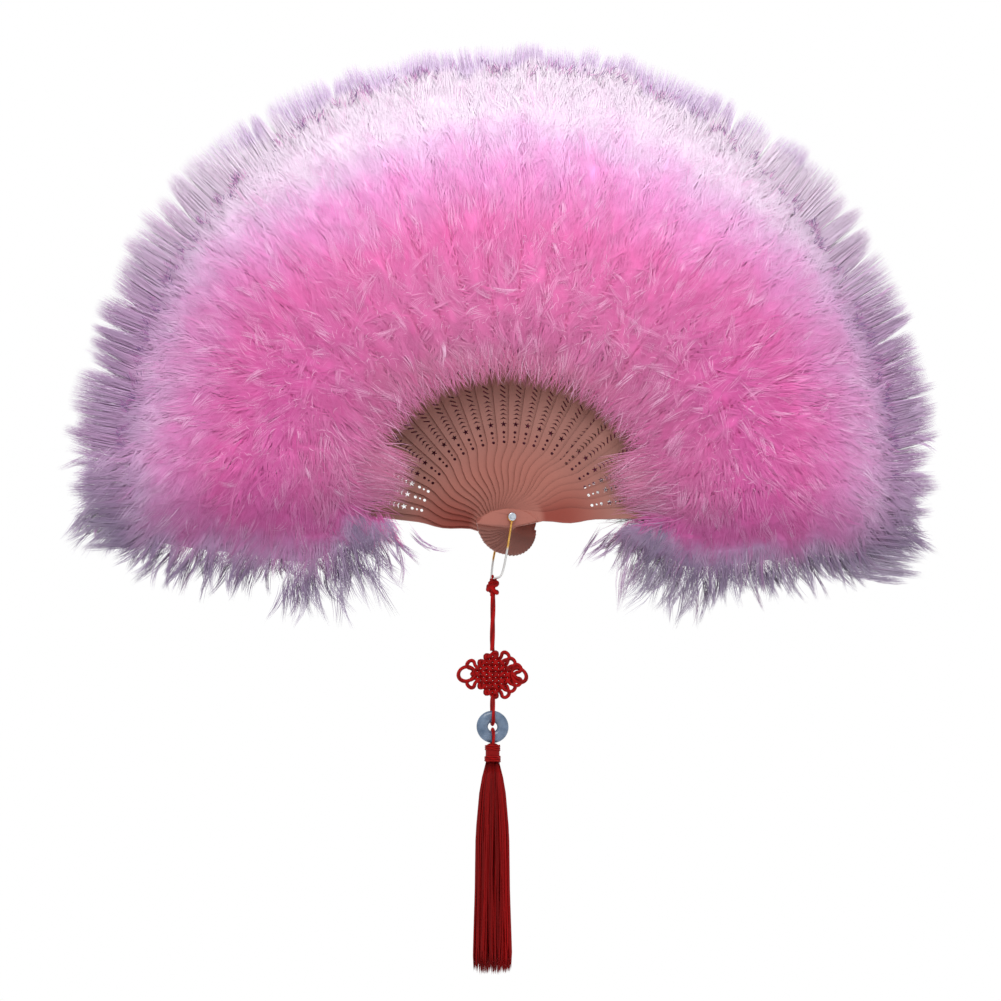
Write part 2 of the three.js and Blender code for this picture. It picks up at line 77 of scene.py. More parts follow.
camera_data = bpy.data.cameras.new("camera")
camera_data.lens = camera_data.sensor_width * view_distance / picture_width
camera = bpy.data.objects.new("camera", camera_data)
scene.collection.objects.link(camera)
camera.matrix_world = Matrix.Translation(
    towards_camera * view_distance - right * rivet_right_of_middle + up * rivet_below_middle) @ aim
scene.camera = camera
print("camera at", [round(value, 3) for value in camera.location])

# %% [markdown]
# Cords, threads and down are all made from arrays of points and triangles, because a curve object
# can't be given the marks that their colours need. A route is written as a few points. It is first
# rounded through them, and then cut into even steps.

# %% Routes and pieces
def mesh_piece(name, points, triangles, marks):
    """A piece made from arrays of points and triangles, with number attributes on its points."""
    mesh = bpy.data.meshes.new(name)
    mesh.vertices.add(len(points))
    mesh.vertices.foreach_set("co", np.asarray(points, np.float32).ravel())
    mesh.loops.add(3 * len(triangles))
    mesh.loops.foreach_set("vertex_index", np.asarray(triangles, np.int32).ravel())
    mesh.polygons.add(len(triangles))
    mesh.polygons.foreach_set("loop_start", np.arange(0, 3 * len(triangles), 3, dtype=np.int32))
    for mark, values in marks.items():
        attribute = mesh.attributes.new(mark, "FLOAT", "POINT")
        attribute.data.foreach_set("value", np.asarray(values, np.float32))
    mesh.update(calc_edges=True)
    mesh.shade_smooth()
    piece = bpy.data.objects.new(name, mesh)
    scene.collection.objects.link(piece)
    return piece


def rounded(route, meets=False, cuts=8):
    """Points along a smooth curve through the route's points."""
    route = np.asarray(route, float)
    if meets:
        before, ends, beyond = (np.roll(route, shift, 0) for shift in (1, -1, -2))
    else:
        padded = np.vstack([2 * route[0] - route[1], route, 2 * route[-1] - route[-2]])
        before, route, ends, beyond = padded[:-3], padded[1:-2], padded[2:-1], padded[3:]
    share = np.linspace(0, 1, cuts, endpoint=False)[None, :, None]
    a, b, c, d = (points[:, None, :] for points in (before, route, ends, beyond))
    line = 0.5 * (2 * b + (c - a) * share + (2 * a - 5 * b + 4 * c - d) * share ** 2
                  + (3 * b - a - 3 * c + d) * share ** 3)
    line = line.reshape(-1, 3)
    return line if meets else np.vstack([line, ends[-1]])


def turns(count):
    """Angles spread evenly over a full turn."""
    return np.arange(count) * 2 * math.pi / count


def evenly(line, step, meets=False):
    """The same line cut into even steps, and how far along it each point is."""
    if meets:
        line = np.vstack([line, line[0]])
    along = np.concatenate([[0], np.cumsum(np.linalg.norm(np.diff(line, axis=0), axis=1))])
    places = np.linspace(0, along[-1], max(int(along[-1] / step), 4) + 1)
    points = np.stack([np.interp(places, along, line[:, axis]) for axis in range(3)], 1)
    return (points[:-1], places[:-1]) if meets else (points, places)


# %% [markdown]
# A cord is a thin rope. A plain bevelled curve would be smooth like a wire, and a twisted cord isn't:
# its plies stand out as a screw. So the rope's round section swells and dips as it turns along the
# route. Each step's section is carried on from the one before it, so that the rope never kinks. The
# same skin of triangles between rings later closes the threads, the barbs and their cores.

# %% Ropes
def skin(count, sides, meets=False):
    """Triangles between rings of points, each ring after the other. With meets the last ring joins the
    first one, and otherwise the two points that follow the rings are the middles of the end caps."""
    corner, beside = np.arange(sides), np.roll(np.arange(sides), -1)
    triangles = []
    for i in range(count if meets else count - 1):
        here, there = i * sides, (i + 1) % count * sides
        triangles += [np.stack([here + corner, here + beside, there + beside], 1),
                      np.stack([here + corner, there + beside, there + corner], 1)]
    if not meets:
        middle, last = np.full(sides, count * sides), (count - 1) * sides
        triangles += [np.stack([middle, beside, corner], 1),
                      np.stack([middle + 1, last + corner, last + beside], 1)]
    return np.vstack(triangles)


def rope(route, radius, plies=2, lay_length=5, dip=0.16, sides=10, step=0.5 * mm, meets=False):
    """Points, triangles and marks of a rope along a route. lay_length is a ply's turn, in diameters."""
    points, places = evenly(rounded(route, meets), step, meets)
    ahead = np.roll(points, -1, 0) if meets else np.vstack([points[1:], 2 * points[-1] - points[-2]])
    behind = np.roll(points, 1, 0) if meets else np.vstack([2 * points[0] - points[1], points[:-1]])
    heading = ahead - behind
    heading /= np.linalg.norm(heading, axis=1)[:, None]
    first = np.cross(heading[0], (0.31, 0.87, 0.39))
    sideways = [first / np.linalg.norm(first)]
    for now in heading[1:]:
        carried = sideways[-1] - now * (sideways[-1] @ now)
        sideways.append(carried / np.linalg.norm(carried))
    sideways = np.array(sideways)
    over = np.cross(heading, sideways)
    turn = turns(sides)
    screw = turn[None, :] - (places / (lay_length * 2 * radius) * 2 * math.pi / plies)[:, None]
    ply = np.abs(np.cos(screw * plies / 2))
    swell = radius * (1 - dip + dip * ply)
    ring = (points[:, None, :] + swell[:, :, None]
            * (np.cos(turn)[None, :, None] * sideways[:, None, :]
               + np.sin(turn)[None, :, None] * over[:, None, :]))
    ring = ring.reshape(-1, 3)
    ply = ply.ravel()
    if not meets:
        ring = np.vstack([ring, points[0], points[-1]])
        ply = np.append(ply, [1, 1])
    return ring, skin(len(points), sides, meets), {"ply": ply}


def together(name, *parts):
    """One piece from several sets of points, triangles and marks."""
    starts = np.cumsum([0] + [len(points) for points, _, _ in parts])
    return mesh_piece(
        name, np.vstack([points for points, _, _ in parts]),
        np.vstack([triangles + start for (_, triangles, _), start in zip(parts, starts)]),
        {mark: np.concatenate([marks[mark] for _, _, marks in parts]) for mark in parts[0][2]})


# %% [markdown]
# The cord starts at the lowest point of the wire bail and ends in the woven knot. It is limp, and
# the weight of the tassel pulls it straight. The route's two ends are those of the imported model's
# cord, and its length is what the photograph shows of it, with the part inside the overhand knot.

# %% The hanging cord
hang_x, hang_z = -7 * mm, -26.8 * mm
cord_thickness = 2.6 * mm
cord_top_z, cord_low_z = -30 * mm, -64.4 * mm
cord_sway = 0.15 * mm
cord_route = [(hang_x + cord_sway * math.sin(5 * share), 0, cord_top_z + (cord_low_z - cord_top_z) * share)
              for share in np.linspace(0, 1, 20)]
cord = together("red_cord", rope(cord_route, cord_thickness / 2))
print("cord:", round((cord_top_z - cord_low_z) / mm, 1), "mm of twisted cord")

# %% [markdown]
# The cord is looped round the bail's wire and tied in an overhand knot. A simple ball would hide
# that it is a knot, so the loop and the knot's two turns are ropes of their own, wound on a slant.

# %% The loop and the overhand knot
strand_radius = 0.7 * mm
loop_radius = 1.55 * mm
loop_route = [(hang_x + 0.2 * mm * math.sin(turn), loop_radius * math.sin(turn),
               hang_z - 1.6 * mm + loop_radius * math.cos(turn))
              for turn in np.linspace(0, 2 * math.pi, 14, endpoint=False)]
knot_z = -32.6 * mm


def knot_turn(radius, height, slant, lift, start):
    """One slanted turn of the overhand knot."""
    return [(hang_x + radius * math.cos(turn + start), radius * 0.9 * math.sin(turn + start),
             knot_z + lift + slant * math.cos(turn + start) + height * math.sin(2 * turn))
            for turn in np.linspace(0, 2 * math.pi, 18, endpoint=False)]


cord_knot = together(
    "cord_knot",
    rope(loop_route, strand_radius, meets=True),
    rope(knot_turn(2.2 * mm, 0.4 * mm, 1.5 * mm, 0.7 * mm, 0), 1.3 * mm, meets=True),
    rope(knot_turn(2.1 * mm, -0.4 * mm, -1.4 * mm, -1.3 * mm, 1.2), 1.3 * mm, meets=True),
    rope(knot_turn(1.3 * mm, 0.2 * mm, 0.6 * mm, 2.7 * mm, 2.6), 1.1 * mm, meets=True),
    rope([(hang_x, 0, hang_z - 1.4 * mm), (hang_x, 0, knot_z - 4.2 * mm)], 1.5 * mm))

# %% [markdown]
# The woven knot is a diamond of two layers of cord that pass over and under each other, and every
# second return of the cord is left long as an ear. It could be drawn as a patterned plate, but the
# holes in the ears and the steps of the weave would be missing. So each of the two directions is
# one serpentine rope: it rises and dips at every crossing, and turns back in a short bend or an ear.

# %% The woven knot
weave_x, weave_z = hang_x, -76.35 * mm
weave_cords = 8
weave_pitch = 2.12 * mm
weave_cord_radius = 1.02 * mm
weave_lift = 0.95 * mm
weave_half = (weave_cords - 1) / 2 * weave_pitch
ear_reach = 5.2 * mm
ear_swell = 1.35 * mm
bend_reach = 1.9 * mm


def weave_point(along, across, height, way):
    """A point of the weave, which stands on its corner. way is 1 for one direction and -1 for the other."""
    lean = math.sqrt(0.5)
    return (weave_x + lean * (along - way * across), height, weave_z + lean * (way * along + across))


def serpentine(way, ears):
    """The route of one direction's cord. ears holds the numbers of the returns that are left long."""
    route = []
    for row in range(weave_cords):
        across = (row - (weave_cords - 1) / 2) * weave_pitch
        forward = 1 if row % 2 == 0 else -1
        for step in range(weave_cords):
            column = step if forward > 0 else weave_cords - 1 - step
            along = (column - (weave_cords - 1) / 2) * weave_pitch
            height = weave_lift * way * (1 if (row + column) % 2 == 0 else -1)
            route.append(weave_point(along, across, height, way))
        if row < weave_cords - 1:
            start, half = forward * weave_half, weave_pitch / 2
            if row in ears:
                swell, reach = ear_swell, ear_reach
                places = [(0.36, half + 0.1 * swell), (0.7, half + 0.72 * swell),
                          (0.95, half + 0.3 * swell), (1.03, 0)]
            else:
                reach = bend_reach
                places = [(0.5, half), (1, 0)]
            places = [(share, -wide) for share, wide in places] + [
                (share, wide) for share, wide in reversed(places[:-1])]
            route += [weave_point(start + forward * share * reach, across + half + wide, 0, way)
                      for share, wide in places]
    return route


def side_ear(side, half_length, half_height, tilt):
    """The large ear at one side of the woven knot."""
    middle = weave_x + side * 13.1 * mm
    route = []
    for turn in np.linspace(0, 2 * math.pi, 20, endpoint=False):
        x, z = half_length * math.cos(turn), half_height * math.sin(turn)
        route.append((middle + x * math.cos(tilt) - z * math.sin(tilt), 0.3 * mm * math.sin(turn),
                      weave_z + x * math.sin(tilt) + z * math.cos(tilt)))
    return route


woven_knot = together(
    "woven_red_knot",
    rope(serpentine(1, (0, 2, 4, 5)), weave_cord_radius, sides=8, step=0.6 * mm),
    rope(serpentine(-1, (1, 2, 4, 6)), weave_cord_radius, sides=8, step=0.6 * mm),
    rope(side_ear(-1, 4.1 * mm, 3.5 * mm, 0.5), weave_cord_radius, sides=8, meets=True),
    rope(side_ear(1, 4.1 * mm, 3.3 * mm, -0.6), weave_cord_radius, sides=8, meets=True))
print("woven knot:", len(woven_knot.data.polygons), "faces")

# %% [markdown]
# The stone ring hangs on a loop of cord from the knot, and a second loop carries the tassel. A torus
# has the right hole and rim, and only has to be flattened along its axis in edit mode, because the
# real ring is a disc with a soft edge rather than a tube.

# %% The stone ring
ring_z = -102.3 * mm
ring_radius, ring_hole, ring_half_thickness = 8 * mm, 2.3 * mm, 1.75 * mm


def deselect():
    """Leaves nothing selected, so that the next step works on its own piece alone."""
    bpy.ops.object.select_all(action="DESELECT")


def settled(piece):
    """Puts a piece's place, turn and size into its mesh, so that its object sits at the origin."""
    deselect()
    piece.select_set(True)
    bpy.context.view_layer.objects.active = piece
    bpy.ops.object.transform_apply(location=True, rotation=True, scale=True)


deselect()
bpy.ops.mesh.primitive_torus_add(
    major_segments=96, minor_segments=32, location=(hang_x, 0, ring_z), rotation=(math.pi / 2, 0, 0),
    major_radius=(ring_radius + ring_hole) / 2, minor_radius=(ring_radius - ring_hole) / 2)
stone_ring = bpy.context.object
stone_ring.name = "stone_ring"
stone_ring.scale = (1, 1, 2 * ring_half_thickness / (ring_radius - ring_hole))
settled(stone_ring)
bpy.ops.object.shade_smooth()

# %% [markdown]
# Each loop through the ring runs down past its front, through the hole and up past its back. The
# bend has to clear the stone all round, so the route is drawn as a long ring in the plane that cuts
# the stone in half.

# %% The loops through the ring
loop_cord_radius = 0.85 * mm
loop_bend = ring_half_thickness + 0.3 * mm + loop_cord_radius
strand_reach = ring_hole - 0.3 * mm - loop_cord_radius


def long_loop(low, high):
    """A loop of cord between two heights, round through the ring's hole."""
    points = [(high - loop_bend, turn) for turn in np.linspace(0, math.pi, 7)]
    points += [(low + loop_bend, turn) for turn in np.linspace(math.pi, 2 * math.pi, 7)]
    return [(hang_x, -loop_bend * math.cos(turn), middle + loop_bend * math.sin(turn))
            for middle, turn in points]


ring_loop = together("knot_loop", rope(long_loop(ring_z + strand_reach, -87.05 * mm),
                                       loop_cord_radius, meets=True))
tassel_loop = together("tassel_loop", rope(long_loop(-112.3 * mm, ring_z - strand_reach),
                                           loop_cord_radius, meets=True))

# %% [markdown]
# The tassel's collar is cord wound round the head of the skirt. A lathed tube with grooves would do
# from far away. A real winding is one cord in a close screw, so the collar is a rope that climbs by
# one thickness a turn round a plain barrel, with a thicker band at its lower end.

# %% The bound collar
collar_top_z, collar_low_z = -110.6 * mm, -120.1 * mm
winding_radius = 0.42 * mm


def winding(top, low, radius, thread):
    """A close winding of thread round the collar between two heights."""
    rounds = (top - low) / (2 * thread)
    return [(hang_x + radius * math.cos(turn), radius * math.sin(turn),
             top - 2 * thread * turn / (2 * math.pi))
            for turn in np.linspace(0, rounds * 2 * math.pi, int(rounds * 12))]


def barrel(profile, sides=24):
    """A turned core on the hanging line. The profile gives heights and radii, from the top down."""
    rings = [(hang_x + radius * math.cos(turn), radius * math.sin(turn), height)
             for height, radius in profile for turn in turns(sides)]
    points = np.vstack([rings, (hang_x, 0, profile[0][0]), (hang_x, 0, profile[-1][0])])
    return points, skin(len(profile), sides)[:, ::-1], {"ply": np.full(len(points), 0.4)}


collar = together(
    "bound_collar",
    barrel([(collar_top_z, 1.8 * mm), (-111.6 * mm, 3.4 * mm), (-119.6 * mm, 3.5 * mm),
            (collar_low_z, 3 * mm)]),
    rope(winding(-111.4 * mm, -114.2 * mm, 3.5 * mm, winding_radius), winding_radius, dip=0.1, sides=6),
    rope(winding(-116.9 * mm, -119.7 * mm, 3.7 * mm, winding_radius), winding_radius, dip=0.1, sides=6))

# %% [markdown]
# Hair, thread and down are all the same thing to a modeller: thousands of thin strands. Particle
# hair gives them at once, but a particle strand has no mesh to keep. Here each strand is a closed
# sliver with pointed ends: a few three-sided rings along its line. All the strands of a piece are
# worked out together as arrays, because placing them one by one would take hours.

# %% Strands
def strands(lines, widths, flatness, facing, sides=3):
    """Closed slivers along lines of points (strand, station, xyz). widths has each station's half width,
    and both end stations are points. facing is the direction that each flat sliver faces."""
    count, stations = lines.shape[:2]
    heading = np.gradient(lines, axis=1)
    heading /= np.maximum(np.linalg.norm(heading, axis=2, keepdims=True), 1e-12)
    wide = np.cross(facing[:, None, :], heading)
    wide /= np.maximum(np.linalg.norm(wide, axis=2, keepdims=True), 1e-12)
    thick = np.cross(heading, wide)
    turn = turns(sides)
    body = slice(1, stations - 1)
    half = widths[:, body, None, None]
    ring = (lines[:, body, None, :]
            + half * np.cos(turn)[None, None, :, None] * wide[:, body, None, :]
            + half * flatness * np.sin(turn)[None, None, :, None] * thick[:, body, None, :])
    rings = stations - 2
    points = np.concatenate(
        [ring.reshape(count, rings * sides, 3), lines[:, :1], lines[:, -1:]], axis=1)
    starts = np.arange(count) * points.shape[1]
    triangles = skin(rings, sides)[None] + starts[:, None, None]
    return points.reshape(-1, 3), triangles.reshape(-1, 3)


# %% [markdown]
# The skirt is a few hundred soft threads in seven locks. They hang straight, swell out below the
# collar, and end at slightly different heights, with a parting where two locks fall apart.

# %% The tassel's skirt
skirt_top_z, skirt_length = -119.6 * mm, 106 * mm
skirt_places = [0, 0.06, 0.13, 0.33, 0.6, 0.9, 1]
skirt_radii = [0.36, 0.5, 0.66, 0.86, 0.9, 1.02, 1]
skirt_radius = 9.3 * mm
thread_count, thread_stations = 420, 14
thread_radius = 0.42 * mm
locks = 7

rng = np.random.default_rng(7)
lock = rng.integers(0, locks, thread_count)
lock_angle = lock * 2 * math.pi / locks + rng.uniform(-0.25, 0.25, thread_count) + 0.25
thread_angle = lock * 2 * math.pi / locks + rng.uniform(-0.52, 0.52, thread_count) + 0.25
thread_reach = np.sqrt(rng.uniform(0.05, 1, thread_count))
thread_length = (skirt_length - 1.6 * mm) * (1 - 0.07 * rng.uniform(0, 1, thread_count) ** 2
                                              - 0.025 * rng.uniform(0, 1, locks)[lock])
shares = np.linspace(0, 1, thread_stations)
gather = np.clip((shares - 0.3) / 0.7, 0, 1)[None, :] ** 1.5
angle = thread_angle[:, None] * (1 - 0.5 * gather) + lock_angle[:, None] * 0.5 * gather
swing = rng.uniform(0, 2 * math.pi, thread_count)[:, None]
angle = angle + 0.05 * np.sin(6 * shares[None, :] + swing)
drop = thread_length[:, None] * shares[None, :]
reach = skirt_radius * np.interp(drop / skirt_length, skirt_places, skirt_radii) * thread_reach[:, None]
reach *= 1 - 0.1 * gather * rng.uniform(0, 1, locks)[lock][:, None]
thread_lines = np.stack([hang_x + reach * np.cos(angle), reach * np.sin(angle), skirt_top_z - drop], 2)
thread_facing = np.stack([np.cos(thread_angle), np.sin(thread_angle), np.zeros(thread_count)], 1)
points, triangles = strands(
    thread_lines, np.full((thread_count, thread_stations), thread_radius), 1, thread_facing, sides=4)
tone = np.repeat(rng.uniform(0, 1, thread_count) * 0.6 + 0.4 * rng.uniform(0, 1, locks)[lock],
                 len(points) // thread_count)
skirt = mesh_piece("tassel_threads", points, triangles, {"tone": tone})
print("skirt:", len(triangles), "triangles")

# %% [markdown]
# The bail is one bent wire with an eye at each end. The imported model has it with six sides, which
# shows as flats along the gold, so the same route is drawn again as a round wire.

# %% The wire bail
wire_radius = 0.55 * mm
bail_drop, bail_lean = 26.8 * mm, 7 * mm
eye_depth, eye_radius = 16.6 * mm, 1.62 * mm
bail_shares = [(0, 0, 1), (0.14, 0.3, 1), (0.36, 0.66, 1), (0.6, 0.98, 0.98), (0.74, 1.09, 0.8),
               (0.88, 1.08, 0.4), (1, 1.06, 0), (0.92, 1.08, -0.4), (0.8, 1.06, -0.8), (0.74, 0.94, -0.98),
               (0.6, 0.6, -1), (0.36, 0.3, -1), (0, 0, -1)]
bail_route = [(-lean * bail_lean, -depth * eye_depth, -drop * bail_drop) for lean, drop, depth in bail_shares]
bail_route[0] = (0, -eye_depth, -eye_radius)
bail_route[-1] = (0, eye_depth, -eye_radius)


def eye(depth):
    """The wire's eye round one end of the rivet."""
    return [(eye_radius * math.cos(turn), depth, eye_radius * math.sin(turn))
            for turn in np.linspace(0, 2 * math.pi, 16, endpoint=False)]


bail = together(
    "gold_wire_bail",
    rope(bail_route, wire_radius, dip=0, sides=12),
    rope(eye(-eye_depth), wire_radius, dip=0, sides=12, meets=True),
    rope(eye(eye_depth), wire_radius, dip=0, sides=12, meets=True))

# %% [markdown]
# The rivet shows as a small silver dome on the lens-shaped head. It starts as a cylinder whose rim
# is bevelled in edit mode into a dome, and the shank is a second cylinder that runs through the
# stack to the cap behind.

# %% Rivet and cap
def turned_pin(name, radius, front, back, rim, segments):
    """A cylinder along Y between two depths, with both its rims rounded."""
    deselect()
    bpy.ops.mesh.primitive_cylinder_add(
        vertices=32, radius=radius, depth=back - front, location=(0, (front + back) / 2, 0),
        rotation=(math.pi / 2, 0, 0))
    pin = bpy.context.object
    pin.name = name
    settled(pin)
    bpy.ops.object.mode_set(mode="EDIT")
    bpy.ops.mesh.select_mode(type="EDGE")
    bpy.ops.mesh.select_all(action="DESELECT")
    bpy.ops.object.mode_set(mode="OBJECT")
    for edge in pin.data.edges:
        depths = [pin.data.vertices[i].co.y for i in edge.vertices]
        on_rim = abs(depths[0] - depths[1]) < 1e-6
        edge.select = on_rim
    bpy.ops.object.mode_set(mode="EDIT")
    bpy.ops.mesh.bevel(offset=rim, segments=segments, affect="EDGES")
    bpy.ops.object.mode_set(mode="OBJECT")
    bpy.ops.object.shade_smooth_by_angle(angle=math.radians(40))
    return pin


def joined(name, *parts):
    """Several pieces as one object."""
    deselect()
    for part in parts:
        part.select_set(True)
    bpy.context.view_layer.objects.active = parts[0]
    bpy.ops.object.join()
    parts[0].name = name
    return parts[0]


rivet = joined(
    "silver_rivet",
    turned_pin("rivet_shank", radius=1 * mm, front=-17.7 * mm, back=18.5 * mm, rim=0.05 * mm, segments=1),
    turned_pin("rivet_head", radius=2.05 * mm, front=-18.55 * mm, back=-17.45 * mm, rim=0.5 * mm,
               segments=6))
cap = turned_pin("silver_cap", radius=1.9 * mm, front=17.45 * mm, back=19.25 * mm, rim=0.5 * mm, segments=5)

# %% [markdown]
# A finish is a small tree of shader nodes. Written node by node it is long and hard to follow, so
# one class stands for a node's output and lets sums be written as sums: a + b adds a Math node.
# Colours never go through those sums, because a Math node turns a colour grey.

# %% A way to write finishes
class Value:
    """The output of a shader node, as something to reckon with."""

    def __init__(self, finish, socket):
        self.finish, self.socket = finish, socket

    def _math(self, operation, *inputs):
        return self.finish.node("Math", {"operation": operation}, dict(enumerate(inputs)))

    def __add__(self, other):
        return self._math("ADD", self, other)

    def __sub__(self, other):
        return self._math("SUBTRACT", self, other)

    def __rsub__(self, other):
        return self._math("SUBTRACT", other, self)

    def __mul__(self, other):
        return self._math("MULTIPLY", self, other)

    def __truediv__(self, other):
        return self._math("DIVIDE", self, other)

    __radd__, __rmul__ = __add__, __mul__


class Finish:
    """A new material and the ways to add nodes to it. The world's light is written in the same way."""

    def __init__(self, name, shelf=bpy.data.materials):
        self.block = shelf.new(name)
        self.block.use_nodes = True
        self.tree = self.block.node_tree
        self.tree.nodes.clear()

    def node(self, kind, settings=None, inputs=None, output=0):
        """Adds a node, sets its settings and then its inputs, and gives one of its outputs."""
        made = self.tree.nodes.new("ShaderNode" + kind)
        for name, setting in (settings or {}).items():
            if name == "stops":
                for i, (place, colour) in enumerate(setting):
                    stops = made.color_ramp.elements
                    stop = stops[i] if i < 2 else stops.new(place)
                    stop.position = place
                    stop.color = (*colour, 1)
            else:
                setattr(made, name, setting)
        for name, value in (inputs or {}).items():
            if isinstance(value, Value):
                self.tree.links.new(value.socket, made.inputs[name])
            else:
                made.inputs[name].default_value = value
        return Value(self, made.outputs[output]) if made.outputs else None

    def place(self):
        return self.node("TexCoord", output="Object")

    def height(self, place):
        return self.node("SeparateXYZ", {}, {0: place}, "Z")

    def length(self, place):
        return self.node("VectorMath", {"operation": "LENGTH"}, {0: place}, "Value")

    def bump(self, strength, distance, height):
        return self.node("Bump", {}, {"Strength": strength, "Distance": distance, "Height": height})

    def mark(self, name):
        """A number that the piece's mesh carries on its points."""
        return self.node("Attribute", {"attribute_name": name}, output="Fac")

    def ramp(self, value, stops):
        return self.node("ValToRGB", {"stops": stops}, {0: value})

    def between(self, value, low, high):
        """0 below low, 1 above high and a smooth rise from one to the other."""
        return self.node("MapRange", {"interpolation_type": "SMOOTHSTEP"}, {0: value, 1: low, 2: high})

    def mixed(self, share, first, second, how="MIX"):
        return self.node("Mix", {"data_type": "RGBA", "blend_type": how}, {0: share, 6: first, 7: second}, 2)

    def noise(self, place, scale, detail=3, stretch=(1, 1, 1)):
        mapped = self.node("Mapping", {}, {0: place, 3: stretch})
        return self.node("TexNoise", {}, {"Vector": mapped, "Scale": scale, "Detail": detail})

    def speckled(self, colour, share, noise, low, high, speck):
        """Puts a second colour over the first where a noise is high."""
        return self.mixed(self.between(noise, low, high) * share, colour, speck)

    def surface(self, **inputs):
        """Ends the tree in one Principled shader. A name's underscores stand for spaces."""
        named = {name.replace("_", " "): value for name, value in inputs.items()}
        shader = self.node("BsdfPrincipled", {}, named)
        self.node("OutputMaterial", {}, {"Surface": shader})
        return self.block


# %% [markdown]
# Colours are written as they are read off the photograph, from 0 to 255, and are turned into the
# linear numbers that shaders take. Every finished piece is then told in one place what it is: its
# finish, the body that it moves with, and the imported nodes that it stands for.

# %% Colours and dressing
def paint(red, green, blue):
    """A colour as the photograph shows it, in the linear numbers that a shader takes."""
    return tuple(((part / 255 + 0.055) / 1.055) ** 2.4 if part > 10 else part / 255 / 12.92
                 for part in (red, green, blue))


def solid(red, green, blue):
    """The same with the fourth number that a colour socket asks for."""
    return (*paint(red, green, blue), 1)


def dress(piece, material, body, slot, *stands_for):
    """Gives a piece its finish, the body that it rides on and the nodes that it replaces. slot is not used.
    """
    piece.data.materials.clear()
    piece.data.materials.append(material)
    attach(piece, body)
    if stands_for:
        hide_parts(*stands_for)


# %% [markdown]
# The sticks are moulded and stained a dusty rose brown, smooth and a little waxed. The colour is
# uneven along the grain, and a warmer red brown towards the heads. Near the heads, where the sticks
# lie almost level beside the guards, a deep red brown is painted shade, and the heads below the
# rivet's level are painted darker as shade under the boss. One finish for all of them follows the
# distance from the rivet, because the colour and the painted shade both do.

# %% The sticks' stain and painted shade
def stick_finish():
    finish = Finish("stained_stick_painted_shade")
    place = finish.place()
    reach = finish.length(finish.node("VectorMath", {"operation": "MULTIPLY"}, {0: place, 1: (1, 0, 1)}))
    height = finish.height(place)
    grain = finish.noise(place, 220, 4)
    cloud = finish.noise(place, 40, 2)
    colour = finish.mixed(finish.between(cloud, 0.35, 0.7), solid(136, 85, 75), solid(146, 94, 84))
    colour = finish.mixed(finish.between(reach, 0.025, 0.055), solid(149, 85, 72), colour)
    steep = height / (reach + 0.001)
    near_head = finish.between(reach, 0.014, 0.018) * (1 - finish.between(reach, 0.024, 0.056))
    low = finish.between(steep, -0.2, 0) * (1 - finish.between(steep, 0.1, 0.7))
    # Painted shade: deep red brown near the heads, where the sticks lie almost level beside the guards.
    colour = finish.mixed(near_head * low * 0.95, colour, solid(122, 34, 12))
    # Painted shade: the heads below the rivet's level are darker, as under the boss.
    colour = finish.mixed(finish.between(height, -0.002, -0.007) * 0.8, colour, solid(118, 70, 60))
    colour = finish.speckled(colour, 0.12, grain, 0.5, 0.75, solid(120, 72, 60))
    return finish.surface(Base_Color=colour, Roughness=0.4 + 0.2 * cloud,
                          Normal=finish.bump(0.12, 0.2 * mm, grain))


stick_material = stick_finish()

# %% [markdown]
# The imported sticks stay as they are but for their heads. In the photograph these fan out to a fuller
# half disc, and the front guard's boss has a high upper edge and a flat lower one. New heads could be
# modelled and joined on. Instead each stick is a copy whose head is pulled into that shape, which
# keeps all its piercing, and only the points inside the neck are moved.

# %% Sticks
head_reach, disc_reach, disc_lean = 13.4 * mm, 15.4 * mm, 1.7 * mm
boss_front, boss_end, boss_length = -14.86 * mm, -5 * mm, 15.3 * mm
back_head_reach = 17 * mm


def shaped_stick(name, angle, front=0, back=0):
    """A copy of a packed stick with its head pulled into shape. front or back marks a guard."""
    mesh = nodes[name].data.copy()
    stick = bpy.data.objects.new("stick_" + name, mesh)
    scene.collection.objects.link(stick)
    cos, sin = math.cos(angle), math.sin(angle)
    for vertex in mesh.vertices:
        x, y, z = vertex.co
        along, across = x * cos + z * sin, z * cos - x * sin
        if back and along < 0:
            upper, out = across < 0.05 * mm, (along / back_head_reach) ** 2
            along *= 0.96 if upper else 1.08
            across += (-4.8 if upper else 2) * mm * out
        elif front and (y < boss_front or along < boss_end):
            share = (along + 2.2 * mm) / boss_length
            across = across * (1 + 0.6 * share ** 2 if across > 0 else 0.88) - 2 * mm * share ** 2
        elif along < 0 and not front:
            out = min(-along / head_reach, 1)
            along *= 1 + ((disc_reach + disc_lean * abs(cos)) / head_reach - 1) * out
            across *= 1 + 1.5 * out ** 3
        vertex.co = (along * cos - across * sin, y, along * sin + across * cos)
    return stick


rib_shares = [0.0406, 0.0852, 0.1223, 0.1634, 0.2128, 0.2461, 0.2698, 0.3162, 0.3557, 0.3954, 0.4357,
              0.4753, 0.5153, 0.5577, 0.6006, 0.6433, 0.685, 0.7261, 0.7684, 0.8121, 0.8557, 0.8927,
              0.9304, 0.9721]
open_angle, front_guard_angle = 169.6, 4.2
stick_angles = np.radians([front_guard_angle + open_angle * share for share in [0, *rib_shares, 1]])
bodies = ["handle", *(f"stick_{i:02d}" for i in range(1, 25)), "back_stick"]
stick_names = ["front_guard", *(f"rib_{i:02d}" for i in range(1, 25)), "back_guard"]
for name, body, angle in zip(stick_names, bodies, stick_angles):
    stick = shaped_stick(name, angle, name == "front_guard", name == "back_guard")
    weld = stick.modifiers.new("weld", "WELD")
    weld.merge_threshold = 0.01 * mm
    bevel = stick.modifiers.new("soft_edges", "BEVEL")
    bevel.width = 0.12 * mm
    bevel.segments = 2
    bevel.limit_method = "ANGLE"
    bevel.angle_limit = math.radians(35)
    bevel.harden_normals = True
    dress(stick, stick_material, body, "stick", name)
print("sticks:", len(stick_names))

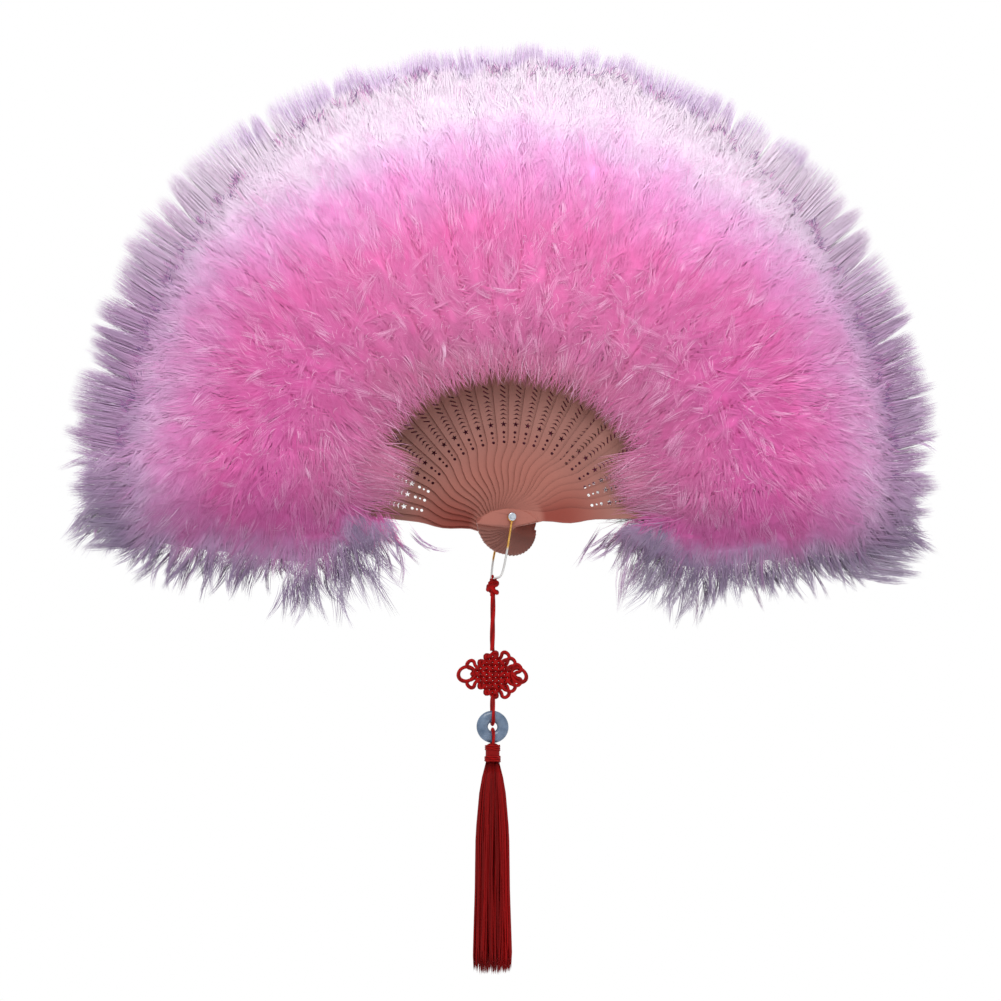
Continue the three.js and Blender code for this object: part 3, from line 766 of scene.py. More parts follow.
# %% [markdown]
# The wire is gilt, with the gilding worn off below the heads, and the rivet is bright steel. Both are
# metals, so nearly all that is seen in them is the room, broken up by fine scratches in the roughness.

# %% Metals
def metal_finish(name, bright, dull, rough, worn=None):
    finish = Finish(name)
    place = finish.place()
    scratches = finish.noise(place, 900, 4)
    colour = finish.mixed(finish.between(scratches, 0.4, 0.7), bright, dull)
    if worn:
        colour = finish.mixed(finish.between(finish.height(place), -0.0145, -0.017), colour, worn)
    return finish.surface(Base_Color=colour, Metallic=1.0, Roughness=rough + 0.15 * scratches)


gold = metal_finish("gilt_wire", solid(222, 172, 92), solid(186, 134, 66), 0.2, solid(205, 204, 202))
silver = metal_finish("rivet_steel", solid(196, 203, 212), solid(156, 163, 174), 0.18)
dress(bail, gold, "bail", "gold_wire", "wire_bail")
dress(rivet, silver, "handle", "rivet_steel", "pivot_rivet")
dress(cap, silver, "handle", "rivet_steel", "rivet_cap")

# %% [markdown]
# The cord is red rayon with a low silky shine. The valleys between its plies are painted darker as
# shade, which the rope's own mark says, and a fine noise breaks up the shine as single fibres do and
# paints lighter specks on them as painted glints. The tassel's threads are of the same yarn: each has
# its own tone, and the noise is drawn out along them into streaks of painted glint.

# %% Red cord
def silky_red(name, mark, scale, stretch, dark, light, glint, bump, rough):
    """Red rayon: darker where a mark is low, which on the cord is painted shade between the plies, with
    lighter specks of painted glint on fibres that break up the shine.
    """
    finish = Finish(name)
    fibres = finish.noise(finish.place(), scale, 3, stretch)
    # On the cord the ply mark paints shade in the valleys between the plies.
    colour = finish.mixed(finish.mark(mark), dark, light)
    # Painted glint: lighter specks where the fibre noise is high.
    colour = finish.speckled(colour, 0.3, fibres, 0.55, 0.8, glint)
    return finish.surface(Base_Color=colour, Roughness=rough + 0.2 * fibres,
                          Normal=finish.bump(bump, 0.1 * mm, fibres), Specular_IOR_Level=0.12)


red_cord = silky_red("red_rayon_cord", "ply", 2600, (1, 1, 1), solid(84, 0, 0), solid(150, 3, 3),
                     solid(180, 22, 20), bump=0.25, rough=0.55)
red_thread = silky_red("red_tassel_thread", "tone", 700, (1, 1, 0.04), solid(92, 0, 0), solid(138, 3, 4),
                       solid(164, 12, 12), bump=0.3, rough=0.5)
for piece, *stands_for in ((cord, "hanging_cord"), (cord_knot,), (woven_knot, "woven_knot"), (ring_loop,),
                           (tassel_loop,), (collar, "tassel_collar")):
    dress(piece, red_cord, "tassel", "red_cord", *stands_for)
dress(skirt, red_thread, "tassel", "red_thread", "tassel_skirt")

# %% [markdown]
# The ring is milky blue-grey stone. Light goes a short way into it, which subsurface scattering
# gives, and the polish is a hard clear shine over cloudy colour.

# %% Stone
def stone_finish():
    finish = Finish("milky_blue_stone")
    cloud = finish.noise(finish.place(), 190, 3)
    colour = finish.mixed(finish.between(cloud, 0.3, 0.72), solid(64, 84, 108), solid(98, 116, 139))
    return finish.surface(Base_Color=colour, Roughness=0.14 + 0.12 * cloud, Subsurface_Weight=0.35,
                          Subsurface_Radius=(0.8, 1, 1.2), Subsurface_Scale=0.002, IOR=1.6)


dress(stone_ring, stone_finish(), "tassel", "jade", "jade_ring")

# %% [markdown]
# Down is dyed in one bath: hot pink at the quills and grey lilac at the tips, and the top of the fan
# is painted almost white: painted light from above. The colour could follow the plain distance from
# the rivet, but the fan isn't a half circle, and it turns lilac at its lower edges too. So each point
# carries a mark of its own, its zone: 0 at the inner end of the down and about 1 at its rim or lower
# edge. One ramp over the zones gives the colours of the sides, a much paler one is painted light on
# the top, and how steeply a point lies above the rivet mixes the two. Below zone 0, behind the
# sticks, both ramps darken as painted shade, and past zone 1 the tips are painted paler as light
# shining through them. Another mark, the tone, makes each wisp a little paler or deeper than its
# neighbours. The deeper tones lose green and blue but no red, as dye does, so that the pink glows and
# never turns grey. Tones below zero, those of the lashes, are painted dark as shade, and the lobes
# that hang under the guards are painted darker as shade.

# %% Dyed down, painted light and painted shade
zones_below, zones_wide = 0.35, 1.43


def by_zone(stops):
    """A ramp's stops, which run from 0 to 1, for colours at zones from -0.35 to 1.08."""
    return [((zone + zones_below) / zones_wide, paint(*colour)) for zone, colour in stops]


# Below zone 0, on the down behind and among the sticks, both ramps darken to dull mauve: painted shade. Past
# zone 1 the tips are painted paler, as light shining through them from behind.
side_colours = by_zone([
    (-0.3, (112, 70, 88)), (-0.12, (188, 114, 144)), (0, (206, 110, 160)), (0.3, (222, 101, 172)),
    (0.5, (230, 108, 178)), (0.66, (225, 134, 194)), (0.8, (216, 163, 207)), (0.89, (184, 146, 186)),
    (0.97, (180, 151, 186)), (1.08, (226, 198, 226))])
# The top ramp is a much paler copy of the side ramp: painted light on the top of the fan, lit from above.
painted_light_top_colours = by_zone([
    (-0.3, (112, 70, 88)), (-0.12, (194, 116, 144)), (0, (216, 118, 168)), (0.36, (246, 127, 192)),
    (0.55, (255, 168, 230)), (0.65, (255, 207, 249)), (0.74, (255, 235, 255)), (0.88, (255, 240, 255)),
    (0.915, (228, 204, 238)), (1.05, (238, 218, 244))])


def down_finish():
    finish = Finish("dyed_down_painted_light_and_shade")
    place = finish.place()
    height = finish.height(place)
    patches = finish.noise(place, 55, 3)
    zone = (finish.mark("zone") + 0.16 * (patches - 0.5) + zones_below) / zones_wide
    # Painted light: the higher a point lies above the rivet, the more it takes the paler top ramp.
    painted_top_light = finish.between(height / finish.length(place), 0.37, 1) * finish.between(height, 0.01, 0.12)
    whitest = zone + 0.16 * (painted_top_light - 1)
    colour = finish.mixed(painted_top_light, finish.ramp(zone, side_colours), finish.ramp(whitest, painted_light_top_colours))
    tone = finish.mark("tone")
    colour = finish.mixed(0.8 * finish.between(tone, 0.5, 0), colour, solid(250, 168, 222), "MULTIPLY")
    colour = finish.mixed(0.5 * finish.between(tone, 0.5, 1), colour, solid(255, 226, 250))
    # Painted shade: tones below zero, those of the lashes, turn dark lilac.
    colour = finish.mixed(finish.between(tone, 0, -0.5), colour, solid(110, 86, 132))
    hangs = finish.mark("hangs")
    # Painted shade: the lobes under the guards are darker the further down they hang.
    colour = finish.mixed(finish.between(hangs, 0, 1), colour, solid(196, 206, 206), "MULTIPLY")
    return finish.surface(Base_Color=colour, Roughness=0.95, Specular_IOR_Level=0.1,
                          Sheen_Weight=0.1, Sheen_Roughness=0.7)


down_material = down_finish()

# %% [markdown]
# A plume is a bundle of down on one stick. Real marabou is soft because thousands of barbs lie over
# each other in wisps. Each plume here has a core that carries its mass, a fuzz of fine barbs, wisps
# whose barbs close up to one tip, a long thin layer that makes the fan's rim, and loose curls. First
# the layout says where down is: how far out it reaches, how low it hangs and how deep it is.

# %% The fan's layout
edges = (stick_angles[1:] + stick_angles[:-1]) / 2

plume_inner, side_reach, top_reach, full_height = 84 * mm, 209 * mm, 242 * mm, 0.75
half_depth = 21 * mm
profile_places = [0, 0.12, 0.35, 0.6, 0.74, 0.84, 1]
profile_depths = [0.8, 0.93, 1, 0.92, 0.7, 0.32, 0.1]
right_places, right_lows = np.array([
    (46, 4), (52, 9), (60, 12), (67, 18), (75, 26), (98, 34), (121, 29), (136, 25), (159, 19), (172, 20),
    (184, 12), (195, 2), (206, -4)]).T * mm
left_places, left_lows = np.array([
    (44, 6), (51, 12), (66, 20), (89, 34), (104, 39), (130, 33), (155, 30), (178, 25), (198, 10),
    (208, -3)]).T * mm
longer_angles, longer_by = np.array([
    (-6, 0), (4, 5), (14, 10), (34, 9), (50, 13), (76, 13), (92, 6), (106, 3), (130, 0), (150, -2),
    (163, -2), (172, 3), (180, 0), (190, -6)]).T


def rim(angle):
    """How far out the down reaches at an angle of the fan. It is fuller on the right."""
    return (side_reach + (top_reach - side_reach) * np.clip(np.sin(angle) / full_height, 0, 1)
            + np.interp(angle, np.radians(longer_angles), longer_by) * mm)


def lowest(x):
    """How far the down hangs below the rivet's level, at a distance to the right or left of it."""
    return np.where(x > 0, np.interp(x, right_places, right_lows), np.interp(-x, left_places, left_lows))


def roof(x):
    """How high the guards' plumes reach: up to the edges of the ribs' plumes beside them."""
    return np.where(x > 0, x * math.tan(edges[0]), x * math.tan(edges[-1]))


def front_end(angle):
    """How far out the thick front layer reaches, as a share of the way to the rim."""
    return np.interp(np.sin(angle), [0, 0.2, 0.75, 0.97], [0.87, 0.82, 0.83, 0.93])


# %% [markdown]
# The zone of a point says where its colour lies between the quills and the tips. Above the sticks it
# follows the way out to the rim, and in the lobes the way down. A plain sum of sine waves bends these
# borders and lumps the down's surface. Noise from a texture would do that too, but only as colour, and
# the clumps have to lift the barbs as well.

# %% Zones, clumps and depth
level_zone_right, level_zone_left = 0.54, 0.46
thick_end_zone, lowest_zone, inner_low_zone = 0.9, 1.1, 0.94
drop_places = [0, 0.35, 0.58, 0.72, 0.85, 1]
drop_depths = [1, 0.95, 0.78, 0.46, 0.2, 0.12]


def within(values, low, high):
    """0 below low, 1 above high and a straight rise from one to the other."""
    return np.clip((values - low) / (high - low), 0, 1)


def zones(points):
    """The zone of each point: 0 at the inner end of the down, 0.9 where its thick layer ends, 1 at the
    rim and 1.1 at the lower edge. Below the sticks the inner end is as grey as the tips."""
    x, z = points[:, 0], points[:, 2]
    z = z + 5 * mm * clumps(0.5 * z, 0.6 * x, 3)
    angle = np.arctan2(z, np.abs(x))
    share = (np.hypot(x, z) - plume_inner) / (rim(np.where(x > 0, angle, math.pi - angle)) - plume_inner)
    end = front_end(angle)
    outwards = np.where(share < end, thick_end_zone * share / end,
                        thick_end_zone + (1 - thick_end_zone) * (share - end) / (1 - end))
    level = np.where(x > 0, level_zone_right, level_zone_left)
    downwards = np.minimum(level - 0.6 * z / np.maximum(lowest(x), 6 * mm), lowest_zone)
    zone = outwards + within(-z, -2 * mm, 12 * mm) * np.maximum(downwards - outwards, 0)
    inner_end = within(-np.hypot(x, z), -90 * mm, -78 * mm) * within(-z, -3 * mm, 1 * mm)
    return zone + inner_end * np.maximum(inner_low_zone - zone, 0)


def hanging(points):
    """How far a point is into a lobe, from 0 above the guards to 1 well below them."""
    x, z = points[:, 0], points[:, 2]
    away = np.maximum(within(np.hypot(x, z), 50 * mm, 75 * mm), 0.2)
    return within(-z - 3.5 * mm * clumps(0.5 * z, x, 3), -34 * mm, 12 * mm) * away


def clumps(out, across, side):
    """A smooth rise and fall of the down, about -1 to 1, in clumps longer outwards than across."""
    u, v = out / mm, across / mm + 37 * side
    return (0.4 * np.sin(u / 9.1 + 2.1 * np.sin(v / 17) + side) * np.cos(v / 3.9 + 0.7 * np.sin(u / 13))
            + 0.35 * np.sin(v / 2.3 + 1.9 * np.sin(u / 11 + side)) * np.cos(u / 15 + v / 21)
            + 0.25 * np.cos(u / 4.7 + 2.4 * np.sin(v / 7.3)) * np.sin(v / 3.1 + side))


def surface_depth(reach, angle, side):
    """How deep the down's surface lies in front of (side -1) or behind (side 1) the fan's plane."""
    x, z = reach * np.cos(angle), reach * np.sin(angle)
    outwards = (reach - plume_inner) / (rim(angle) - plume_inner)
    downwards = (roof(x) - z) / (roof(x) + lowest(x) + 1 * mm)
    swell = 1 + 0.09 * clumps(reach, angle * 150 * mm, side)
    swell = swell * np.clip((reach - 42 * mm) / (40 * mm), 0.1, 1) ** 0.5
    return (half_depth * np.interp(outwards, profile_places, profile_depths)
            * np.interp(downwards, drop_places, drop_depths) * swell)


# %% [markdown]
# Places on the fan are kept as a reach from the rivet and an angle, and barbs are steered by a heading
# that is measured from straight outwards. The headings make the fan's face: the barbs part along a
# crown and are unruly there, which no even fan of rays would show.

# %% How the barbs lie
crown_reach, crown_start = 114 * mm, math.radians(33)
crown_waves, crown_width = 9 * mm, 15 * mm


def at(reach, angle, depth):
    """Points in the fan's frame from how far out, at what angle and how deep they are."""
    return np.stack([reach * np.cos(angle), depth, reach * np.sin(angle)], -1)


def moved(reach, angle, along, across, heading):
    """The place that lies along and across a heading, which is measured from straight outwards."""
    out = along * np.cos(heading) - across * np.sin(heading)
    around = along * np.sin(heading) + across * np.cos(heading)
    return reach + out, angle + around / reach


def lie(rng, reach, angle, spread):
    """The headings of barbs. They part along a crown, an arc round the rivet, like hair from a parting:
    outside it they run to the rim, inside it to the sticks, and past its ends down into the lobes."""
    nearest = np.clip(angle, crown_start, math.pi - crown_start)
    crown = crown_reach + crown_waves * np.sin(13 * nearest + 2 * np.sin(5 * nearest))
    x, z = reach * np.cos(angle), reach * np.sin(angle)
    from_x, from_z = x - crown * np.cos(nearest), z - crown * np.sin(nearest)
    unruly = spread + 0.9 * np.exp(-(np.hypot(from_x, from_z) / crown_width) ** 2)
    return (np.arctan2(from_z, from_x) - angle + 0.3 * clumps(reach * 0.6, angle * 120 * mm, 5)
            + rng.normal(0, 1, len(reach)) * unruly)


# %% [markdown]
# A barb is drawn from three points: its root, a point that bows it, and its tip. The barbs' lines are
# worked out for a whole plume at once. Short barbs need two rings and long ones three. A barb's
# colour is half that of its root, so that wisps of one shade lie over the next and no border is sharp.

# %% Barbs
barb_flatness = 0.3


def barbs(rng, root, bow, tip, half_width, tone, side=-1, rings=2, own=0.5):
    """Points, triangles and marks of barbs along curves from root to tip that lean towards bow. side is
    -1 in front of the fan's plane and 1 behind it. own is how much of its colour a point has from its
    own place, and the rest is the root's."""
    share = np.linspace(0, 1, rings + 2)
    taper = np.interp(share, [0, 0.3, 0.7, 1], [0.5, 1, 0.62, 0])
    along = share[None, :, None]
    lines = ((1 - along) ** 2 * root[:, None] + 2 * along * (1 - along) * bow[:, None]
             + along ** 2 * tip[:, None])
    facing = rng.normal(0, 0.15, (len(root), 3)) + (0, 1, 0)
    widths = taper[None, :] * half_width * rng.uniform(0.7, 1.3, len(root))[:, None]
    points, triangles = strands(lines, widths, barb_flatness, facing)
    each = len(points) // len(root)
    side, roots = np.repeat(side * np.ones(len(root)), each), np.repeat(root, each, axis=0)
    return points, triangles, {
        "tone": np.repeat(tone, each), "zone": (1 - own) * zones(roots) + own * zones(points),
        "hangs": 0.6 * hanging(roots) + 0.4 * hanging(points), "side": side}


# %% [markdown]
# Light wanders from barb to barb inside down, so no single barb has a lit and a shaded side. Plain
# smooth shading would give each of them both. The barbs therefore take their normals from the mass that
# they lie on, and only the shadows between them are left. Where the down is thin, their normals lean
# outwards.

# %% Soft normals
steepest, thin_depth = 0.6, 7 * mm


def soften(piece):
    """Gives the barbs the normals of the down's smooth mass. The core keeps its own, and so do the back
    barbs where the down is thin. The marks of the sides are of no more use afterwards."""
    mesh = piece.data
    count = len(mesh.vertices)
    points, side = np.empty(3 * count, np.float32), np.empty(count, np.float32)
    mesh.vertices.foreach_get("co", points)
    mesh.attributes["side"].data.foreach_get("value", side)
    x, _, z = points.reshape(-1, 3).astype(float).T

    def depth(x, z):
        angle = np.arctan2(z, x)
        return surface_depth(np.hypot(x, z), np.where(angle < -math.pi / 2, angle + 2 * math.pi, angle), side)

    step = 4 * mm
    slopes = [(depth(x - step, z) - depth(x + step, z)) / (2 * step),
              (depth(x, z - step) - depth(x, z + step)) / (2 * step)]
    thin = np.clip(1.8 - depth(x, z) / thin_depth, 0, 1)
    reach = np.hypot(x, z)
    sideways, upwards = (np.clip(slope, -steepest, steepest) * (1 - thin) + 0.5 * thin * place / reach
                         for slope, place in zip(slopes, (x, z)))
    normals = np.stack([sideways, side * (1 - 0.3 * thin), upwards], 1)
    normals[(side == 0) | (side > 0) & (thin > 0.2)] = 0
    mesh.normals_split_custom_set_from_vertices(normals.tolist())
    mesh.attributes.remove(mesh.attributes["side"])


# %% [markdown]
# Three layers make the fluffy face. Fuzz is fine and close, and fills it. Wisps lie over the fuzz and
# give the down its grain: their barbs start side by side and close up to one tip, as damp or combed
# barbs do. Curls are few and stand in front of the rest, where they catch the light, and their paler
# tone is a painted highlight.

# %% Fuzz, wisps and curls
fine_half_width = 0.15 * mm
fuzz_length = 8 * mm
root_under = 0.4 * mm
wisp_length, wisp_barbs, wisp_spread, wisp_lift = 14 * mm, 9, 1.8 * mm, 0.8 * mm


def on_down(side, reach, angle, shift):
    """Points on the surface of one side of the down, shifted in depth."""
    return at(reach, angle, side * surface_depth(reach, angle, side) + shift)


def fuzz(rng, reach, angle, heading, side):
    """Fine barbs that lie close to one side of the down and lift a little at their tips."""
    count = len(reach)
    long = fuzz_length * rng.uniform(0.5, 1.3, count)
    bend = heading + rng.normal(0, 0.4, count)
    bow_place = moved(reach, angle, 0.5 * long, 0, heading)
    tip_place = moved(*bow_place, 0.5 * long, 0, bend)
    lift = side * rng.uniform(0, 0.4, count) * mm
    tone = 0.44 + 0.16 * clumps(1.5 * reach, angle * 190 * mm, side) + rng.normal(0, 0.08, count)
    return barbs(rng, on_down(side, reach, angle, -side * root_under), on_down(side, *bow_place, lift),
                 on_down(side, *tip_place, 1.5 * lift), fine_half_width, tone, side)


def wisps(rng, reach, angle, heading, side, length=wisp_length, each=wisp_barbs, spread=wisp_spread,
          lift=wisp_lift):
    """Bundles of fine barbs that start side by side, run together and close up to one tip."""
    count = len(reach)

    def shared(values):
        return np.repeat(values, each)

    long = shared(length * rng.uniform(0.6, 1.35, count))
    first = shared(heading)
    last = first + shared(rng.normal(0, 0.4, count)) + rng.normal(0, 0.07, count * each)
    across = rng.normal(0, 1, count * each) * shared(spread * rng.uniform(0.6, 1.4, count))
    centre = shared(reach), shared(angle)
    root = moved(*centre, rng.uniform(-0.25, 0.3, count * each) * long, across, first)
    bow = moved(*centre, 0.5 * long, 0.75 * across, first)
    tip = moved(*moved(*centre, 0.5 * long, 0, first), rng.uniform(0.35, 0.55, count * each) * long,
                0.3 * across, last)
    up = side * shared(lift * rng.uniform(0.3, 1.5, count)) * rng.uniform(0.8, 1.2, count * each)
    tone = shared(np.clip(rng.normal(0.55, 0.13, count), 0.25, 1))
    return barbs(rng, on_down(side, *root, -side * root_under), on_down(side, *bow, up),
                 on_down(side, *tip, 1.3 * up), fine_half_width,
                 tone + rng.normal(0, 0.04, count * each), side)


def curls(rng, low, high, inner, outer, count, size):
    """Loose hooked barbs that stand out of the front of the down, paler in tone as a painted highlight."""
    reach = rng.uniform(inner, outer, count)
    angle = rng.uniform(low, high, count)
    long = size * rng.uniform(0.5, 1.3, count)
    heading = angle + rng.normal(0, 1, count)
    hook = heading + rng.choice([-1, 1], count) * rng.uniform(0.8, 2.2, count)
    root = on_down(-1, reach, angle, 0.3 * mm)
    bow = root + at(long, heading, -rng.uniform(0.3, 2, count) * mm)
    tip = bow + at(long * 0.7, hook, rng.uniform(-1, 1, count) * mm)
    # Painted highlight: the curls take a paler tone.
    return barbs(rng, root, bow, tip, 0.18 * mm, rng.uniform(0.65, 0.9, count), rings=3)


# %% [markdown]
# The edges need barbs of their own. At the rim long thin barbs gather into tongues, which a mask on the
# core could only cut out of it. Short lashes, painted dark as the shade at its edge, mark where the
# thick layer ends, and a fringe veils the slats at the inner end.

# %% Rim, lashes and fringe
def rim_barbs(rng, low, high, count):
    """The long thin layer, to the rim. Its tips make soft tongues with a narrow notch between each two,
    and smaller, more pointed ones near the guards."""
    angle = rng.uniform(low, high, count)
    sharp = np.interp(np.sin(angle), [0.2, 0.5], [1, 0])
    place = (17 * angle + 0.6 * np.sin(7.3 * angle + 1) + 0.45 * np.sin(23 * angle)) * np.where(
        sharp > 0.5, 2, 1)
    tongue = np.floor(place)
    aside = 2 * (place - tongue) - 1
    parted = np.clip(0.5 + 0.9 * np.sin(45.1 * tongue + 1), 0.1, 1) * np.where(np.sin(angle) > 0.93, 0.5, 1)
    longer = (1.5 + 1.5 * sharp) * np.sin(78.2 * tongue) * mm
    notch = (6 + 2 * sharp) * mm * parted
    reach_2 = (rim(angle) + 4.5 * mm + longer - rng.exponential(3.2, count) * mm
               - notch * np.abs(aside) ** (4 - 2 * sharp))
    half = np.where(sharp > 0.5, 0.5, 1) / 38
    angle_2 = (angle - aside * half * (0.3 + 0.1 * sharp) * parted + 0.012 * np.sin(31 * angle)
               + rng.normal(0, 1 * mm, count) / reach_2)
    reach_0 = plume_inner + (front_end(angle) - rng.uniform(0.02, 0.2, count)) * (rim(angle) - plume_inner)
    reach_1 = reach_0 + (reach_2 - reach_0) * rng.uniform(0.4, 0.65, count)
    angle_1 = angle + 0.35 * (angle_2 - angle) + rng.normal(0, 1.1 * mm, count) / reach_1
    depth_0 = rng.uniform(-0.8, 0.8, count) * surface_depth(reach_0, angle, 1)
    depth_2 = rng.uniform(-2.5, 2.5, count) * mm
    return barbs(rng, at(reach_0, angle, depth_0), at(reach_1, angle_1, (depth_0 + depth_2) / 2),
                 at(reach_2, angle_2, depth_2), fine_half_width, 0.5 + rng.normal(0, 0.09, count),
                 np.sign(depth_0 + depth_2), own=0.85)


def lashes(rng, low, high, count):
    """Short barbs in groups of seven where the thick front layer ends, painted dark as the shade at its edge.
    """
    groups = count // 7
    angle = np.repeat(rng.uniform(low, high, groups), 7) + rng.normal(0, 0.006, groups * 7)
    count = len(angle)
    share = front_end(angle) + 0.012 * np.sin(90 * angle) + rng.normal(0, 0.01, count)
    reach = plume_inner + share * (rim(angle) - plume_inner)
    long = rng.uniform(1.5, 4.5, count) * mm
    heading = np.repeat(rng.normal(0, 0.45, groups), 7) + rng.normal(0, 0.12, count)
    bow = moved(reach, angle, 0.5 * long, 0, heading)
    tip = moved(reach, angle, long, 0, heading + rng.normal(0, 0.2, count))
    # Painted shade: tones below zero make the lashes dark.
    return barbs(rng, on_down(-1, reach, angle, 0), on_down(-1, *bow, -1.2 * mm),
                 on_down(-1, *tip, -1.6 * mm), 0.22 * mm, rng.uniform(-0.5, -0.1, count))


def inner_fringe(rng, low, high, side, count, reaches, depths, tone):
    """Barbs round the plume's inner end, which veil the slats of the sticks. reaches says between which
    places their tips end, and depths how deep they lie, both in millimetres."""
    nearest, farthest = np.multiply(reaches, mm)
    depths = np.multiply(depths, mm)
    reach_2 = nearest + (farthest - nearest) * rng.uniform(0, 1, count) ** 0.8
    reach_0 = np.maximum(reach_2 + rng.uniform(6, 20, count) * mm, 80 * mm)
    angle = rng.uniform(low, high, count)
    angle_2 = angle + rng.normal(0, 3.5 * mm, count) / reach_2
    depth_0, depth_2 = (side * rng.uniform(*depths, count) for _ in range(2))
    bow = at((reach_0 + reach_2) / 2, (angle + angle_2) / 2 + rng.normal(0, 0.03, count),
             (depth_0 + depth_2) / 2 + side * rng.uniform(0, 1.5, count) * mm)
    return barbs(rng, at(reach_0, angle, depth_0), bow, at(reach_2, angle_2, depth_2),
                 0.2 * mm, tone + rng.normal(0, 0.15, count), side, rings=3)


# %% [markdown]
# The core is a closed skin between the plume's two neighbours, close under the fuzz. It carries the
# clumps of the down, so that the mass is lumpy and soft even where few barbs show. A thinner skin of
# the same kind hangs behind the middle sticks, and makes their drilled holes look dark: it keeps out
# the light from behind, and its low tone and dull mauve are painted shade.

# %% Cores
def core(sections, tone=0.35):
    """A closed soft body through rings of points, each an array of the same length."""
    rings = np.array(sections)
    middle = rings.mean(axis=1)
    points = np.vstack([rings.reshape(-1, 3), middle[0], middle[-1]])
    triangles = skin(*rings.shape[:2])
    a, b, c = (points[triangles[:, i]] for i in range(3))
    volume = np.sum(a * np.cross(b, c))
    if volume < 0:
        triangles = triangles[:, ::-1]
    return points, triangles, {"tone": np.full(len(points), tone), "zone": zones(points),
                               "hangs": hanging(points), "side": np.zeros(len(points))}


under_fuzz = 0.97
backing_inner, backing_outer = 39 * mm, 86 * mm
backing_front, backing_back = 16 * mm, 17.2 * mm


def rib_core(low, high):
    """The core of a rib's plume, between two angles."""
    middle, half = (low + high) / 2, (high - low) / 2
    across = np.linspace(-1, 1, 9)
    end = (front_end(middle) - 0.02) * (rim(middle) - plume_inner)
    sections = []
    for out in np.concatenate([np.linspace(-2, 6, 4) * mm, np.linspace(9 * mm, end, 32)]):
        ease = np.clip(min((out + 4 * mm) / (7 * mm), (end + 2 * mm - out) / (12 * mm)), 0, 1) ** 0.5
        angle = middle + half * 1.01 * across
        reach = plume_inner + out + np.zeros(9)
        shoulder = (1 - 0.1 * np.abs(across) ** 4) * ease * under_fuzz
        front = -surface_depth(reach, angle, -1) * shoulder
        back = surface_depth(reach, angle, 1) * shoulder
        sections.append(np.vstack([at(reach, angle[::-1], back[::-1]), at(reach, angle, front)]))
    return core(sections)


def backing(low, high):
    """A thin skin of down behind the sticks, from their drilled holes to the plume, with a low tone that
    paints it darker as shade.
    """
    angle = np.linspace(low, high, 9)
    ragged = 1.5 * mm * np.sin(angle * 170)
    sections = []
    for out in np.linspace(0, 1, 6):
        reach = (backing_inner + ragged) * (1 - out) + backing_outer * out
        sections.append(np.vstack([at(reach, angle[::-1], np.full(9, backing_back + out * mm)),
                                   at(reach, angle, np.full(9, backing_front))]))
    # Painted shade: the low tone darkens the skin behind the sticks.
    return core(sections, tone=0.1)


# %% [markdown]
# Every rib gets its plume, which rides on its own stick. The middle sticks have a skin of down behind
# their slats, and the outer ones a thick veil over them, as in the photograph.

# %% Rib plumes
plume_sides = ((-1, 1600, 160), (1, 700, 55))
fringes = ((-1, 130, (66, 80), (14.9, 17.5), 0.5), (1, 60, (66, 82), (15.2, 18), 0.4))
# The back fringe behind the middle sticks has a low tone: painted shade behind them.
middle_fringes = ((1, 90, (35, 76), (15.8, 19), 0.15),)
outer_fringes = ((-1, 420, (49, 78), (14.9, 16), 0.5), (1, 340, (46, 78), (15.8, 18), 0.6))
middle_sticks, stray_below = np.radians((28, 152)), math.radians(32)


def rib_places(rng, low, high, count, short):
    """Places spread evenly over a rib's plume, ending short of its thick layer's end."""
    angle = rng.uniform(low, high, count)
    outer = plume_inner + (front_end(angle) - short) * (rim(angle) - plume_inner)
    return np.sqrt(plume_inner ** 2 + rng.uniform(0, 1, count) * (outer ** 2 - plume_inner ** 2)), angle


rib_plumes = []
for index in range(len(rib_shares)):
    rng = np.random.default_rng(100 + index)
    low, high = edges[index], edges[index + 1]
    stick_angle = stick_angles[index + 1]
    parts = [rib_core(low, high)]
    for side, fine, bundles in plume_sides:
        place = rib_places(rng, low, high, fine, short=0.01)
        parts.append(fuzz(rng, *place, lie(rng, *place, 0.35), side))
        place = rib_places(rng, low, high, bundles, short=0.06)
        parts.append(wisps(rng, *place, lie(rng, *place, 0.2), side))
    parts += [rim_barbs(rng, low, high, 760), lashes(rng, low, high, 63),
              curls(rng, low, high, inner=92 * mm, outer=146 * mm, count=48, size=3 * mm)]
    in_middle = middle_sticks[0] < stick_angle < middle_sticks[1]
    for fringe in (*fringes, *(middle_fringes if in_middle else outer_fringes)):
        parts.append(inner_fringe(rng, low, high, *fringe))
    if in_middle:
        parts.append(backing(low, high))
    if stick_angle < stray_below:
        place = rng.uniform(low, high, 3)
        parts.append(wisps(rng, rim(place) - 14 * mm, place, rng.normal(0, 0.25, 3), -1, length=15 * mm,
                           each=11, spread=0.9 * mm, lift=0.3 * mm))
    name = f"{index + 1:02d}"
    plume = together("plume_" + name, *parts)
    soften(plume)
    dress(plume, down_material, "stick_" + name, "down", "rib_plume_" + name)
    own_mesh(plume)
    rib_plumes.append(plume)
print("rib plumes:", len(rib_plumes), "with", len(rib_plumes[0].data.polygons), "triangles each")

# %% [markdown]
# The guards' plumes also hang below the fan in a lobe. There the barbs spread from the crown's end
# like water from a spout, down and outwards. Their places are given to the right or left of the
# rivet and above or below its level, because a lobe's lower edge follows no circle.

# %% Cores of the guards' plumes
guard_rise, guard_half_width, guard_under_fuzz = math.tan(stick_angles[0]), 3.2 * mm, 0.96


def guard_places(x, z, hand):
    """Reach and angle of places to one side of the rivet (hand 1 is right, -1 is left)."""
    angle = np.arctan2(z, hand * x)
    return np.hypot(x, z), angle if hand > 0 else angle % (2 * math.pi)


